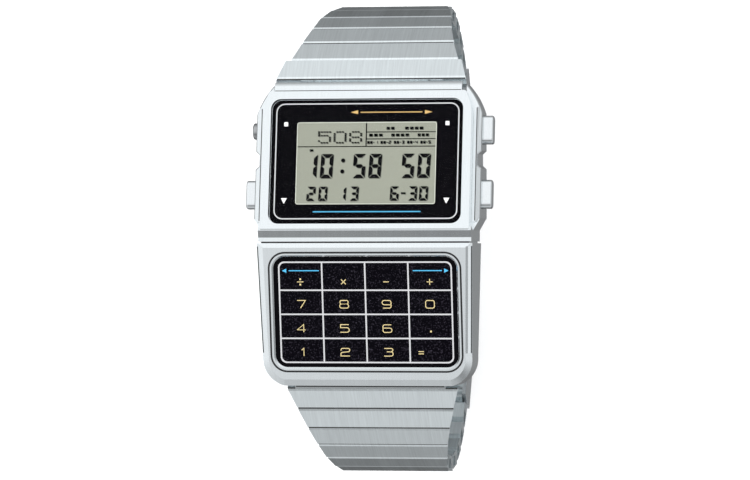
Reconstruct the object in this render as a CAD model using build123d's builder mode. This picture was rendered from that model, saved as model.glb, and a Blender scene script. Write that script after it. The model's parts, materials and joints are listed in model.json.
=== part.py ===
from build123d import *
import os
from math import acos, atan2, cos, hypot, radians, sin, sqrt, tan

os.makedirs("parts", exist_ok=True)

# Calculator watch, in millimetres and degrees.
# +X points to 3 o'clock, +Y to 12 o'clock, +Z out of the face.
# The origin is the middle of the case back's outer face.
# The front is a low roof: a display half and a keypad half slope down from a ridge across the middle.

# Overruns and fits
overrun = 60.0            # how far a cut runs past what it cuts
fit_gap = 0.03            # between a seated piece and its seat
running_gap = 0.06        # around a pin or a stem that turns or slides
side_gap = 0.2            # beside a tongue, between its ears

# Case shell
ridge_height = 9.6
face_tilt = 9.0
shell_floor = 0.3         # height of the shell's lower edge above the case back's outer face
shoulder_half = 17.25     # half width over the shoulders that carry the buttons
shoulder_depth = 2.35     # the shoulders' ledge lies this far below the display face
shoulder_foot = 2.9       # where the shoulders reach full width, from the ridge
shoulder_head = 18.6
waist_half = 16.2         # half width at the ridge
notch_depth = 0.55        # between the two buttons of a side
notch_start = 10.3
notch_end = 13.0
notch_slope = 0.5
case_head = 23.45         # edge of the case at 12 o'clock
case_head_half = 14.3
head_bulge_x = 16.15      # a point on the curved corner at 12 o'clock
head_bulge_y = 21.1
bezel_half = 15.9         # the raised frame round the window
bezel_foot = 1.05
bezel_head = 22.35
bezel_head_half = 14.9
bezel_corner_start = 18.6
bezel_corner_x = 15.6
bezel_corner_y = 20.7
bezel_chamfer = 0.3
bar_drop_head = 0.2       # the bar between the two halves slopes down from the bezel, then is level
bar_drop_foot = 0.75
head_step = 0.45          # the step down to the rounded edge at 12 o'clock
head_step_run = 0.65
head_lip = 0.4            # the edge's thickness over the recess of the first link
edge_bulge = 0.18         # how far the edge is rounded out from straight
split = 0.6               # the seam between the halves, from the ridge
seam_width = 0.25
seam_depth = 0.7
keypad_half_top = 16.4
keypad_half_foot = 15.95
case_foot = 22.3          # edge of the case at 6 o'clock
foot_corner_start = 17.9
foot_corner_half = 12.8
foot_bulge_x = 15.05
foot_bulge_y = 20.85
keypad_bevel_run = 0.95
keypad_bevel_drop = 0.42
lip_half = 11.5           # the lip over the first link at 6 o'clock
lip_reach = 0.5
lip_floor = 3.05
lip_height = 0.75

# Window and display
window_width = 29.24
window_height = 19.0
window_corner = 1.5
window_thickness = 1.0
window_foot = 2.13        # lower edge of the window from the ridge, along the face
lcd_width = 23.4
lcd_height = 14.4
lcd_thickness = 0.9
lcd_middle = 11.27        # middle of the display from the ridge, along the face
lcd_drop = 0.05           # below the window's inner face
lcd_ledge = 0.5           # the lower glass of the display stands out this far for its contacts

# Keypad
keypad_width = 27.83
keypad_height = 16.77
keypad_corner = 1.8
keypad_head = 2.97        # upper edge of the keypad from the ridge, along the face
grid_drop = 0.35          # the grid's top below the keypad face
grid_thickness = 0.8
grid_line = 0.22
grid_margin = 0.805       # black margin beside the grid
grid_margin_head = 0.84
grid_margin_foot = 0.675
operator_row_share = 0.2793   # of the grid's height, for the first row of keys
grid_corner = 0.8
key_gap = 0.05
key_drop = 0.02           # the key's top below the grid's top
key_travel = 0.35
key_flange = 0.12         # a rim under the grid that keeps the key in
key_flange_thickness = 0.4
keypad_ledge = 0.65       # the ledge that the grid rests on
keypad_rim_bevel = 0.25
groove_offset = 0.8       # from the keypad to the outside of the fine groove round it
groove_line = 0.28
groove_depth = 0.35
dome_sheet = 0.2
dome_radius = 1.2
dome_height = 0.3

# Inside of the shell
roof_depth = 1.9          # the roof over the module, below both faces
side_wall = 4.25          # from the hall to the shoulders
cavity_wall = 1.55        # from the hall to the recesses of the first links
cavity_corner = 4.5       # the corners are cut off and leave bosses for the screws

# Case back
back_thickness = 0.8
back_lap = 1.15           # past the hall's ends
back_side_lap = 1.9       # past the hall's sides
back_corner = 1.2
back_chamfer = 0.2
gasket_offset = 0.3       # from the cavity's wall to the gasket
gasket_width = 0.45
gasket_height = 0.5
screw_inset = 1.1         # from the cavity's uncut corner
screw_radius = 0.5
screw_head_radius = 0.8
screw_head_height = 0.4
screw_sink = 0.05
screw_length = 2.2
slot_width = 0.25
slot_depth = 0.2

# Module
module_side_gap = 1.2     # beside the module, for the stems and their springs
module_inset = 0.5        # the module's ends inside the cavity
module_corner = 4.6
skirt = 0.6
module_gap = 0.1
board_floor = 2.95
board_thickness = 0.6
chip_size = 7.0
chip_height = 0.8
quartz_radius = 0.7
quartz_drop = 0.6         # the can's axis below the board
quartz_length = 4.6
battery_radius = 8.0
battery_thickness = 1.6
battery_floor = 1.2
battery_place = 8.6
battery_step = 1.1        # the narrower negative cap
strap_width = 4.0
strap_thickness = 0.15
strap_reach = 9.2
strap_floor = 1.0

# Side buttons
button_depth = 4.25       # middle of the buttons below the display face
upper_button = 17.0       # middle of the buttons from the ridge, along the face
lower_button = 7.2
button_length = 4.3
button_height = 2.0
button_corner = 0.75
button_reach = 1.55       # out of the shoulder
button_root = 1.3         # inside the shoulder
button_travel = 0.7
button_round = 0.3
pocket_spare = 0.35       # behind a button that is pressed in
pusher_radius = 1.25      # the small round button
pusher_reach = 0.8
pusher_travel = 0.5
stem_radius = 0.5
clip_radius = 0.9
clip_thickness = 0.25
leaf_thickness = 0.15     # the leaf springs behind the stems
leaf_height = 0.9
leaf_pad = 1.5            # half length of the part that lies on the module's frame

# Bracelet: the pins follow a loop of half ellipses
link_pitch = 4.15
head_link_pitch = 4.4     # the first link at 12 o'clock is a little longer
lower_pivot_inset = 0.97  # from the case's edge at 6 o'clock
lower_pivot_z = 1.67
upper_pivot_inset = 0.92  # from the case's edge at 12 o'clock
upper_pivot_z = 3.17
loop_reach = 35.05
loop_middle = 22.0        # below the origin
lower_rise_share = 0.97891    # of the rise that would carry the loop through the bar in the case
upper_rise_share = 0.96783
loop_drop = 22.5
link_turn = 1.0           # in radians, more than one link takes of the loop
links_each_side = 11
tail_links = 6
link_end_half = 8.3
lower_start_half = 13.1
upper_start_half = 14.55  # the end piece at 12 o'clock, wider and flatter than the links after it
end_piece_half = 13.35    # its half width at its far end
end_piece_lift = 0.6      # its outer face climbs this far from the line of the pins
end_piece_draw = 0.5      # and stops this far short of a link's length
upper_second_half = 12.9
lower_taper_shares = (1.0, 0.78, 0.56, 0.375, 0.235, 0.095)
upper_taper_shares = (0.0, 1.0, 0.75, 0.543, 0.402, 0.207)

# One link, folded from sheet
sheet = 0.4
link_rise = 1.2           # from the pin's axis to the outer face
link_sink = 1.1           # from the pin's axis to the inner face
link_end = 0.7            # from the pin's axis to the link's far end
link_gap = 0.2
near_bevel_run = 0.5
near_bevel_drop = 0.22
near_slant = 0.5
ear_slant = 0.5
ear_root = 0.85
pin_radius = 0.4
pin_inset = 0.3
eye_radius = 0.72
tongue_thickness = 0.7
tongue_share = 0.6
lug_radius = 0.65
lug_recess = 1.58

# Clasp
clasp_wall = 0.6
clasp_proud = 0.25        # beside the bracelet
clasp_gap = 0.15
flange_gap = 0.2
flange_drop = 2.6
clasp_lip = 0.1
blade_half = 6.5
blade_thickness = 0.7
blade_middle = 1.75       # below the pins' line, towards the wrist
blade_hinge = 14.5        # from the first pin of the tail, along the clasp
hinge_drop = 2.05
hinge_eye = 0.75
hook_length = 1.6
hook_rise = 0.6
hook_gap = 0.4
hook_half = 5.5
lock_half = 5.0
lock_thickness = 0.5
lock_middle = 1.65
lock_hinge = 2.6
lock_hinge_drop = 1.95
lock_eye = 0.55
lock_pin_radius = 0.25
lock_clear = 1.3          # between the lock's free end and the blade's hinge
lock_grip = 0.35          # the lock's turned-up grip

# Planes of the two faces. On both, local x is X. Local y climbs to 12 o'clock.
display_face = Plane(origin=(0, 0, ridge_height), x_dir=(1, 0, 0),
                     z_dir=(0, sin(radians(face_tilt)), cos(radians(face_tilt))))
keypad_face = Plane(origin=(0, 0, ridge_height), x_dir=(1, 0, 0),
                    z_dir=(0, -sin(radians(face_tilt)), cos(radians(face_tilt))))


def roof(y, depth):
    """Height over Y of a plane that lies the given depth below the sloping faces."""
    return ridge_height - abs(y) * tan(radians(face_tilt)) - depth / cos(radians(face_tilt))


# Case shell: display half, bezel, bar across the ridge, rounded edge at 12 o'clock and keypad half

with BuildPart() as shoulders:
    with BuildSketch(Plane.XY.offset(shell_floor)):
        with BuildLine():
            right = [
                (waist_half, -split),
                (waist_half, bezel_foot),
                (shoulder_half, shoulder_foot),
                (shoulder_half, notch_start),
                (shoulder_half - notch_depth, notch_start + notch_slope),
                (shoulder_half - notch_depth, notch_end - notch_slope),
                (shoulder_half, notch_end),
                (shoulder_half, shoulder_head),
            ]
            Polyline((0, -split), *right)
            ThreePointArc(right[-1], (head_bulge_x, head_bulge_y), (case_head_half, case_head))
            Line((case_head_half, case_head), (0, case_head))
            mirror(about=Plane.YZ)
        make_face()
    extrude(amount=ridge_height)
    with BuildSketch(display_face.offset(-shoulder_depth)):
        Rectangle(overrun, overrun)
    extrude(amount=ridge_height, mode=Mode.SUBTRACT)
    ledge_rim = shoulders.faces().sort_by(Axis.Z)[-1].edges().filter_by_position(
        Axis.Y, shoulder_foot, case_head, inclusive=(True, False))
    chamfer(ledge_rim, bezel_chamfer / 2)

with BuildPart() as bezel:
    with BuildSketch(display_face):
        with BuildLine():
            Polyline((0, bezel_foot), (bezel_half, bezel_foot), (bezel_half, bezel_corner_start))
            ThreePointArc((bezel_half, bezel_corner_start), (bezel_corner_x, bezel_corner_y),
                          (bezel_head_half, bezel_head))
            Line((bezel_head_half, bezel_head), (0, bezel_head))
            mirror(about=Plane.YZ)
        make_face()
    extrude(amount=-shoulder_depth - bezel_chamfer)
    chamfer(bezel.faces().sort_by(Axis.Z)[-1].edges(), bezel_chamfer)

with BuildPart() as ridge_bar:
    with BuildSketch(Plane.YZ):
        Polygon(
            (-split, roof(0, shoulder_depth) - bar_drop_foot),
            (bezel_foot + bezel_chamfer * 2, roof(0, shoulder_depth) - bar_drop_foot),
            (bezel_foot + bezel_chamfer * 2, roof(bezel_foot, bar_drop_head)),
            (bezel_foot, roof(bezel_foot, bar_drop_head)),
            (0, roof(0, bar_drop_foot)),
            (-split, roof(0, bar_drop_foot)),
            align=None,
        )
    extrude(amount=waist_half, both=True)

with BuildPart() as head_edge:
    head_top = bezel_head * cos(radians(face_tilt))
    head_floor = roof(head_top, shoulder_depth + head_step)
    edge_start = (head_top, roof(head_top, head_step))
    edge_end = (case_head, upper_pivot_z + sqrt(lug_recess ** 2 - upper_pivot_inset ** 2) + head_lip)
    edge_middle = ((edge_start[0] + edge_end[0] + edge_bulge) / 2,
                   (edge_start[1] + edge_end[1]) / 2 + edge_bulge)
    with BuildSketch(Plane.YZ):
        with BuildLine():
            Polyline(edge_end, (case_head, head_floor), (head_top - head_step_run * 2, head_floor),
                     (head_top - head_step_run * 2, edge_start[1]), edge_start)
            ThreePointArc(edge_start, edge_middle, edge_end)
        make_face()
    extrude(amount=case_head_half, both=True)

with BuildPart() as keypad_block:
    with BuildSketch(Plane.XY.offset(shell_floor)):
        with BuildLine():
            Polyline((0, -split), (keypad_half_top, -split), (keypad_half_foot, -foot_corner_start))
            ThreePointArc((keypad_half_foot, -foot_corner_start), (foot_bulge_x, -foot_bulge_y),
                          (foot_corner_half, -case_foot))
            Line((foot_corner_half, -case_foot), (0, -case_foot))
            mirror(about=Plane.YZ)
        make_face()
    extrude(amount=ridge_height)
    with BuildSketch(keypad_face):
        Rectangle(overrun, overrun)
    extrude(amount=ridge_height, mode=Mode.SUBTRACT)
    keypad_top = keypad_block.faces().sort_by(Axis.Z)[-1]
    chamfer(keypad_top.edges(), keypad_bevel_run, keypad_bevel_drop, reference=keypad_top)


def octagon(half, foot, head, corner):
    """Outline of the module's hall: a rectangle from -foot to head with its corners cut off."""
    Polygon(
        (-half, -foot + corner),
        (-half + corner, -foot),
        (half - corner, -foot),
        (half, -foot + corner),
        (half, head - corner),
        (half - corner, head),
        (-half + corner, head),
        (-half, head - corner),
        align=None,
    )


def roofed_block(half, foot, head, corner, floor, depth):
    """A block under the two sloping faces, its top the given depth below them."""
    with BuildPart() as block:
        with BuildSketch(Plane.XY.offset(floor)):
            octagon(half, foot, head, corner)
        extrude(amount=ridge_height)
        for face in (display_face, keypad_face):
            with BuildSketch(face.offset(-depth)):
                Rectangle(overrun, overrun)
            extrude(amount=ridge_height, mode=Mode.SUBTRACT)
    return block.part


def button_plane(side, place):
    """Plane on a shoulder's wall, local x along the face and local z out of the case."""
    tilt = radians(face_tilt)
    y = place * cos(tilt) - button_depth * sin(tilt)
    z = ridge_height - place * sin(tilt) - button_depth * cos(tilt)
    return Plane(origin=(side * shoulder_half, y, z), x_dir=(0, cos(tilt), -sin(tilt)), z_dir=(side, 0, 0))


cavity_half = shoulder_half - side_wall
module_half = cavity_half - module_side_gap
lower_pivot_y = case_foot - lower_pivot_inset
upper_pivot_y = case_head - upper_pivot_inset
cavity_foot = lower_pivot_y - lug_recess - cavity_wall
cavity_head = upper_pivot_y - lug_recess - cavity_wall
back_half = cavity_half + back_side_lap
back_foot = cavity_foot + back_lap
back_head = cavity_head + back_lap
window_middle = window_foot + window_height / 2
keypad_middle = -keypad_head - keypad_height / 2
grid_height = keypad_height - grid_margin_head - grid_margin_foot
column_pitch = (keypad_width - 2 * grid_margin) / 4
operator_row = grid_height * operator_row_share
number_row = (grid_height - operator_row) / 3
column_lines = [column_pitch * (n - 2) for n in range(5)]
row_lines = [-keypad_head - grid_margin_head - (operator_row if n else 0) - number_row * max(n - 1, 0)
             for n in range(5)]
grid_floor = grid_drop + grid_thickness
sheet_top = grid_floor + 2 * key_gap + key_flange_thickness + key_travel
frame_depth = sheet_top + dome_sheet + module_gap
screw_x = cavity_half - screw_inset
screw_places = [(sx * screw_x, y) for sx in (-1, 1)
                for y in (-cavity_foot + screw_inset, cavity_head - screw_inset)]
lower_tongue = tongue_share * lower_start_half
upper_tongue = tongue_share * upper_start_half
long_buttons = (("light_button", 1, upper_button), ("clear_button", 1, lower_button),
                ("mode_button", -1, lower_button))

with BuildPart() as case_body:
    add(shoulders.part)
    add(bezel.part)
    add(ridge_bar.part)
    add(head_edge.part)
    add(keypad_block.part)
    # Lip over the first link at 6 o'clock
    with BuildSketch(Plane.YZ):
        Polygon(
            (-case_foot + lip_reach, lip_floor),
            (-case_foot - lip_reach, lip_floor),
            (-case_foot - lip_reach, lip_floor + lip_height),
            (-case_foot, lip_floor + lip_height + lip_reach / 2),
            (-case_foot + lip_reach, lip_floor + lip_height + lip_reach / 2),
            align=None,
        )
    extrude(amount=lip_half, both=True)
    # The seam between the two halves
    with BuildSketch(Plane.XZ.offset(split)):
        Rectangle(overrun, overrun)
        with Locations((0, roof(0, bar_drop_foot) - seam_depth)):
            Rectangle((waist_half - seam_depth / 2) * 2, overrun, align=(Align.CENTER, Align.MAX),
                      mode=Mode.SUBTRACT)
    extrude(amount=seam_width, mode=Mode.SUBTRACT)
    # Seats of the window and the display
    with BuildSketch(display_face):
        with Locations((0, window_middle)):
            RectangleRounded(window_width + 2 * fit_gap, window_height + 2 * fit_gap, window_corner + fit_gap)
    extrude(amount=-window_thickness, mode=Mode.SUBTRACT)
    with BuildSketch(display_face):
        with Locations((0, lcd_middle)):
            Rectangle(lcd_width + 2 * running_gap, lcd_height + 2 * running_gap)
    extrude(amount=-roof_depth - window_thickness, mode=Mode.SUBTRACT)
    # Seat of the key grid, the opening under it and the fine groove round it
    with BuildSketch(keypad_face):
        with Locations((0, keypad_middle)):
            RectangleRounded(keypad_width + 2 * fit_gap, keypad_height + 2 * fit_gap, keypad_corner + fit_gap)
    extrude(amount=-grid_floor, mode=Mode.SUBTRACT)
    with BuildSketch(keypad_face):
        with Locations((0, keypad_middle)):
            Rectangle(keypad_width - 2 * keypad_ledge, keypad_height - 2 * keypad_ledge)
    extrude(amount=-frame_depth, mode=Mode.SUBTRACT)
    with BuildSketch(keypad_face):
        with Locations((0, keypad_middle)):
            RectangleRounded(keypad_width + 2 * keypad_rim_bevel, keypad_height + 2 * keypad_rim_bevel,
                             keypad_corner + keypad_rim_bevel)
    extrude(amount=-keypad_rim_bevel, taper=45, mode=Mode.SUBTRACT)
    with BuildSketch(keypad_face):
        groove_inner = groove_offset - groove_line
        with Locations((0, keypad_middle)):
            RectangleRounded(keypad_width + 2 * groove_offset, keypad_height + 2 * groove_offset,
                             keypad_corner + groove_offset)
            RectangleRounded(keypad_width + 2 * groove_inner, keypad_height + 2 * groove_inner,
                             keypad_corner + groove_inner, mode=Mode.SUBTRACT)
    extrude(amount=-groove_depth, mode=Mode.SUBTRACT)
    # Hall for the module, open at the back
    add(roofed_block(cavity_half, cavity_foot, cavity_head, cavity_corner, shell_floor, roof_depth),
        mode=Mode.SUBTRACT)
    # Rebate of the case back, groove of the gasket and holes of the screws
    with BuildSketch(Plane.XY):
        with Locations((0, (back_head - back_foot) / 2)):
            RectangleRounded(2 * (back_half + fit_gap), back_head + back_foot + 2 * fit_gap, back_corner)
    extrude(amount=back_thickness, mode=Mode.SUBTRACT)
    with BuildSketch(Plane.XY.offset(back_thickness)):
        octagon(cavity_half, cavity_foot, cavity_head, cavity_corner)
        offset(amount=gasket_offset + gasket_width, kind=Kind.INTERSECTION)
        octagon(cavity_half, cavity_foot, cavity_head, cavity_corner)
    extrude(amount=gasket_height, mode=Mode.SUBTRACT)
    with BuildSketch(Plane.XY.offset(back_thickness)):
        with Locations(*screw_places):
            Circle(screw_radius + fit_gap)
    extrude(amount=screw_length, mode=Mode.SUBTRACT)
    # Pockets and stem holes of the side buttons
    for button_name, side, place in long_buttons:
        with BuildSketch(button_plane(side, place)):
            RectangleRounded(button_length + 2 * running_gap, button_height + 2 * running_gap,
                             button_corner + running_gap)
        extrude(amount=-button_root - button_travel - pocket_spare, mode=Mode.SUBTRACT)
    with BuildSketch(button_plane(-1, upper_button)):
        Circle(pusher_radius + running_gap)
    extrude(amount=-button_root - pusher_travel - pocket_spare, mode=Mode.SUBTRACT)
    for side in (-1, 1):
        for place in (upper_button, lower_button):
            with BuildSketch(button_plane(side, place)):
                Circle(stem_radius + running_gap)
            extrude(amount=cavity_half - shoulder_half - clip_thickness, mode=Mode.SUBTRACT)
            # Room for the clip where the hall's corner is cut off
            with BuildSketch(button_plane(side, place).offset(cavity_half - shoulder_half)):
                Circle(clip_radius + running_gap)
            extrude(amount=-cavity_corner, mode=Mode.SUBTRACT)
    # Recesses for the first links, open outwards and downwards, with ears for the bars
    for side, pin_y, pin_z, half, tongue in (
            (-1, lower_pivot_y, lower_pivot_z, lower_start_half, lower_tongue),
            (1, upper_pivot_y, upper_pivot_z, upper_start_half, upper_tongue)):
        with BuildSketch(Plane.YZ):
            with Locations((side * pin_y, pin_z)):
                Circle(lug_recess)
            with Locations((side * (pin_y - lug_recess), pin_z)):
                Rectangle(overrun, overrun, align=(Align.MIN if side > 0 else Align.MAX, Align.MAX))
        extrude(amount=half + side_gap, both=True, mode=Mode.SUBTRACT)
        for x_sign in (-1, 1):
            ear_inner = tongue + side_gap
            with BuildSketch(Plane.YZ.offset(x_sign * ear_inner)):
                with Locations((side * pin_y, pin_z)):
                    Circle(lug_radius)
                with Locations((side * pin_y, pin_z)):
                    Rectangle(lug_recess + lug_radius, 2 * lug_radius,
                              align=(Align.MAX if side > 0 else Align.MIN, Align.CENTER))
            extrude(amount=x_sign * lug_radius * 3)
        with BuildSketch(Plane.YZ):
            with Locations((side * pin_y, pin_z)):
                Circle(pin_radius + fit_gap)
        extrude(amount=tongue + side_gap + lug_radius * 3 - sheet, both=True, mode=Mode.SUBTRACT)
case_body.part.label = "case_body"
export_step(case_body.part, "parts/case_body.step")

# Case back with its gasket and screws

with BuildPart() as case_back:
    with BuildSketch(Plane.XY):
        with Locations((0, (back_head - back_foot) / 2)):
            RectangleRounded(2 * back_half, back_head + back_foot, back_corner)
    extrude(amount=back_thickness)
    chamfer(case_back.faces().sort_by(Axis.Z)[0].edges(), back_chamfer)
    with BuildSketch(Plane.XY):
        with Locations(*screw_places):
            Circle(screw_head_radius + fit_gap)
    extrude(amount=screw_sink + screw_head_height, mode=Mode.SUBTRACT)
    with BuildSketch(Plane.XY):
        with Locations(*screw_places):
            Circle(screw_radius + fit_gap)
    extrude(amount=back_thickness, mode=Mode.SUBTRACT)
case_back.part.label = "case_back"
export_step(case_back.part, "parts/case_back.step")

with BuildPart() as back_gasket:
    with BuildSketch(Plane.XY.offset(back_thickness)):
        octagon(cavity_half, cavity_foot, cavity_head, cavity_corner)
        offset(amount=gasket_offset + gasket_width - fit_gap, kind=Kind.INTERSECTION)
    extrude(amount=gasket_height - fit_gap)
    with BuildSketch(Plane.XY.offset(back_thickness)):
        octagon(cavity_half, cavity_foot, cavity_head, cavity_corner)
        offset(amount=gasket_offset, kind=Kind.INTERSECTION)
    extrude(amount=gasket_height, mode=Mode.SUBTRACT)
back_gasket.part.label = "back_gasket"
export_step(back_gasket.part, "parts/back_gasket.step")

with BuildPart() as case_back_screws:
    with BuildSketch(Plane.XY.offset(screw_sink)):
        with Locations(*screw_places):
            Circle(screw_head_radius)
    extrude(amount=screw_head_height)
    with BuildSketch(Plane.XY.offset(screw_sink + screw_head_height)):
        with Locations(*screw_places):
            Circle(screw_radius)
    extrude(amount=screw_length)
    for tip in (1, -1):
        with BuildSketch(Plane.XY.offset(screw_sink)):
            with Locations(*screw_places):
                Rectangle(screw_head_radius * 4 / 3, slot_width, rotation=tip * 45)
        extrude(amount=slot_depth, mode=Mode.SUBTRACT)
case_back_screws.part.label = "case_back_screws"
export_step(case_back_screws.part, "parts/case_back_screws.step")

# Window and display

with BuildPart() as display_window:
    with BuildSketch(display_face):
        with Locations((0, window_middle)):
            RectangleRounded(window_width, window_height, window_corner)
    extrude(amount=-window_thickness)
display_window.part.label = "display_window"
export_step(display_window.part, "parts/display_window.step")

with BuildPart() as lcd_panel:
    lcd_top = window_thickness + lcd_drop
    with BuildSketch(display_face.offset(-lcd_top)):
        with Locations((0, lcd_middle)):
            Rectangle(lcd_width, lcd_height)
    extrude(amount=-lcd_thickness)
    with BuildSketch(display_face.offset(-lcd_top)):
        with Locations((0, lcd_middle - lcd_height / 2)):
            Rectangle(lcd_width, lcd_ledge, align=(Align.CENTER, Align.MIN))
    extrude(amount=-lcd_thickness / 2, mode=Mode.SUBTRACT)
lcd_panel.part.label = "lcd_panel"
export_step(lcd_panel.part, "parts/lcd_panel.step")

# Keypad: a black plate with raised silver lines, sixteen keys in its openings and the dome sheet below

key_names = (
    ("key_divide", "key_times", "key_minus", "key_plus"),
    ("key_7", "key_8", "key_9", "key_0"),
    ("key_4", "key_5", "key_6", "key_point"),
    ("key_1", "key_2", "key_3", "key_equals"),
)


def key_outline(row, column, inset):
    """One cell of the grid, drawn in by an inset. The grid's own outer corners are rounded."""
    left, right_edge = column_lines[column] + inset, column_lines[column + 1] - inset
    top, bottom = row_lines[row] - inset, row_lines[row + 1] + inset
    with Locations(((left + right_edge) / 2, (top + bottom) / 2)):
        Rectangle(right_edge - left, top - bottom)
    with Locations((0, (row_lines[0] + row_lines[4]) / 2)):
        RectangleRounded(column_lines[4] - column_lines[0] - 2 * inset,
                         row_lines[0] - row_lines[4] - 2 * inset, grid_corner, mode=Mode.INTERSECT)


with BuildPart() as key_grid:
    with BuildSketch(keypad_face.offset(-grid_drop)):
        with Locations((0, keypad_middle)):
            RectangleRounded(keypad_width, keypad_height, keypad_corner)
    extrude(amount=-grid_thickness)
    for row in range(4):
        for column in range(4):
            with BuildSketch(keypad_face.offset(-grid_drop)):
                key_outline(row, column, grid_line / 2)
            extrude(amount=-grid_thickness, mode=Mode.SUBTRACT)
key_grid.part.label = "key_grid"
export_step(key_grid.part, "parts/key_grid.step")

for row in range(4):
    for column in range(4):
        with BuildPart() as key:
            with BuildSketch(keypad_face.offset(-grid_drop - key_drop)):
                key_outline(row, column, grid_line / 2 + key_gap)
            extrude(amount=-grid_thickness - key_gap)
            with BuildSketch(keypad_face.offset(-grid_floor - key_gap)):
                key_outline(row, column, grid_line / 2 + key_gap - key_flange)
            extrude(amount=-key_flange_thickness)
        key.part.label = key_names[row][column]
        export_step(key.part, f"parts/{key_names[row][column]}.step")

with BuildPart() as key_domes:
    with BuildSketch(keypad_face.offset(-sheet_top)):
        with Locations((0, keypad_middle)):
            Rectangle(keypad_width - 2 * keypad_ledge - 2 * module_gap,
                      keypad_height - 2 * keypad_ledge - 2 * module_gap)
    extrude(amount=-dome_sheet)
    for row in range(4):
        for column in range(4):
            middle_x = (column_lines[column] + column_lines[column + 1]) / 2
            middle_y = (row_lines[row] + row_lines[row + 1]) / 2
            with BuildSketch(keypad_face.offset(-sheet_top)):
                with Locations((middle_x, middle_y)):
                    Circle(dome_radius)
            extrude(amount=dome_height, taper=60)
key_domes.part.label = "key_domes"
export_step(key_domes.part, "parts/key_domes.step")

# Module: plastic frame, circuit board, battery and its strap

board_top = board_floor + board_thickness
module_foot = cavity_foot - module_inset
module_head = cavity_head - module_inset

with BuildPart() as module_frame:
    add(roofed_block(module_half, module_foot, module_head, module_corner, back_thickness + module_gap,
                     frame_depth))
    with BuildSketch(Plane.XY):
        octagon(module_half - skirt, module_foot - skirt, module_head - skirt, module_corner)
    extrude(amount=board_top, mode=Mode.SUBTRACT)
    # Well for the chip, and two light wells under the display
    with BuildSketch(Plane.XY.offset(board_top)):
        Rectangle(chip_size + skirt, chip_size + skirt)
    extrude(amount=chip_height + skirt, mode=Mode.SUBTRACT)
    with BuildSketch(display_face.offset(-frame_depth)):
        with Locations((-lcd_width / 4, lcd_middle), (lcd_width / 4, lcd_middle)):
            Rectangle(lcd_width / 2 - 2 * skirt, lcd_height - 2 * skirt)
    extrude(amount=-skirt, mode=Mode.SUBTRACT)
module_frame.part.label = "module_frame"
export_step(module_frame.part, "parts/module_frame.step")

with BuildPart() as main_board:
    with BuildSketch(Plane.XY.offset(board_floor)):
        inset = skirt + module_gap
        octagon(module_half - inset, module_foot - inset, module_head - inset, module_corner)
    extrude(amount=board_thickness)
    with BuildSketch(Plane.XY.offset(board_top)):
        Rectangle(chip_size, chip_size)
    extrude(amount=chip_height)
    fillet(main_board.faces().sort_by(Axis.Z)[-1].edges(), chip_height / 2)
    with BuildSketch(Plane.XZ.offset(module_foot / 2)):
        with Locations((0, board_floor - quartz_drop)):
            Circle(quartz_radius)
    extrude(amount=quartz_length)
    for side in (-1, 1):
        with BuildSketch(Plane.XY.offset(board_floor)):
            with Locations((side * module_half / 2, -module_foot / 2)):
                RectangleRounded(quartz_radius * 2, quartz_length, quartz_radius / 2)
        extrude(amount=-quartz_radius)
main_board.part.label = "main_board"
export_step(main_board.part, "parts/main_board.step")

with BuildPart() as battery:
    with BuildSketch(Plane.XY.offset(battery_floor)):
        with Locations((0, battery_place)):
            Circle(battery_radius)
    extrude(amount=battery_thickness)
    with BuildSketch(Plane.XY.offset(battery_floor + battery_thickness * 2 / 3)):
        with Locations((0, battery_place)):
            Circle(battery_radius)
            Circle(battery_radius - battery_step, mode=Mode.SUBTRACT)
    extrude(amount=battery_thickness / 3, mode=Mode.SUBTRACT)
battery.part.label = "battery"
export_step(battery.part, "parts/battery.step")

with BuildPart() as battery_strap:
    # A spring strap across the battery, with a leg at each end that hooks under the board
    with BuildSketch(Plane.XZ.offset(-battery_place)):
        Polygon(
            (-strap_reach, board_floor - fit_gap),
            (-strap_reach, strap_floor),
            (strap_reach, strap_floor),
            (strap_reach, board_floor - fit_gap),
            (strap_reach - strap_thickness, board_floor - fit_gap),
            (strap_reach - strap_thickness, strap_floor + strap_thickness),
            (-strap_reach + strap_thickness, strap_floor + strap_thickness),
            (-strap_reach + strap_thickness, board_floor - fit_gap),
            align=None,
        )
    extrude(amount=strap_width / 2, both=True)
    with BuildSketch(Plane.XY.offset(strap_floor)):
        with Locations((0, battery_place)):
            SlotOverall(strap_width * 2, strap_width / 3)
    extrude(amount=strap_thickness, mode=Mode.SUBTRACT)
battery_strap.part.label = "battery_strap"
export_step(battery_strap.part, "parts/battery_strap.step")

# Side buttons, each a cap on a stem with a clip inside the shell, and the leaf springs behind them


def stem(plane):
    """Stem from a cap's root through the shell's wall, with the clip inside."""
    wall_end = cavity_half - shoulder_half - running_gap
    with BuildPart() as rod:
        with BuildSketch(plane.offset(wall_end - clip_thickness)):
            Circle(stem_radius)
        extrude(amount=clip_thickness - wall_end - button_root)
        with BuildSketch(plane.offset(wall_end)):
            Circle(clip_radius)
        extrude(amount=-clip_thickness)
    return rod.part


for button_name, side, place in long_buttons:
    with BuildPart() as button:
        with BuildSketch(button_plane(side, place).offset(-button_root)):
            RectangleRounded(button_length, button_height, button_corner)
        extrude(amount=button_root + button_reach)
        fillet(button.faces().sort_by(Axis.X)[-1 if side > 0 else 0].edges(), button_round)
        add(stem(button_plane(side, place)))
    button.part.label = button_name
    export_step(button.part, f"parts/{button_name}.step")

with BuildPart() as adjust_button:
    with BuildSketch(button_plane(-1, upper_button).offset(-button_root)):
        Circle(pusher_radius)
    extrude(amount=button_root + pusher_reach)
    fillet(adjust_button.faces().sort_by(Axis.X)[0].edges(), button_round)
    add(stem(button_plane(-1, upper_button)))
adjust_button.part.label = "adjust_button"
export_step(adjust_button.part, "parts/adjust_button.step")

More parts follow.
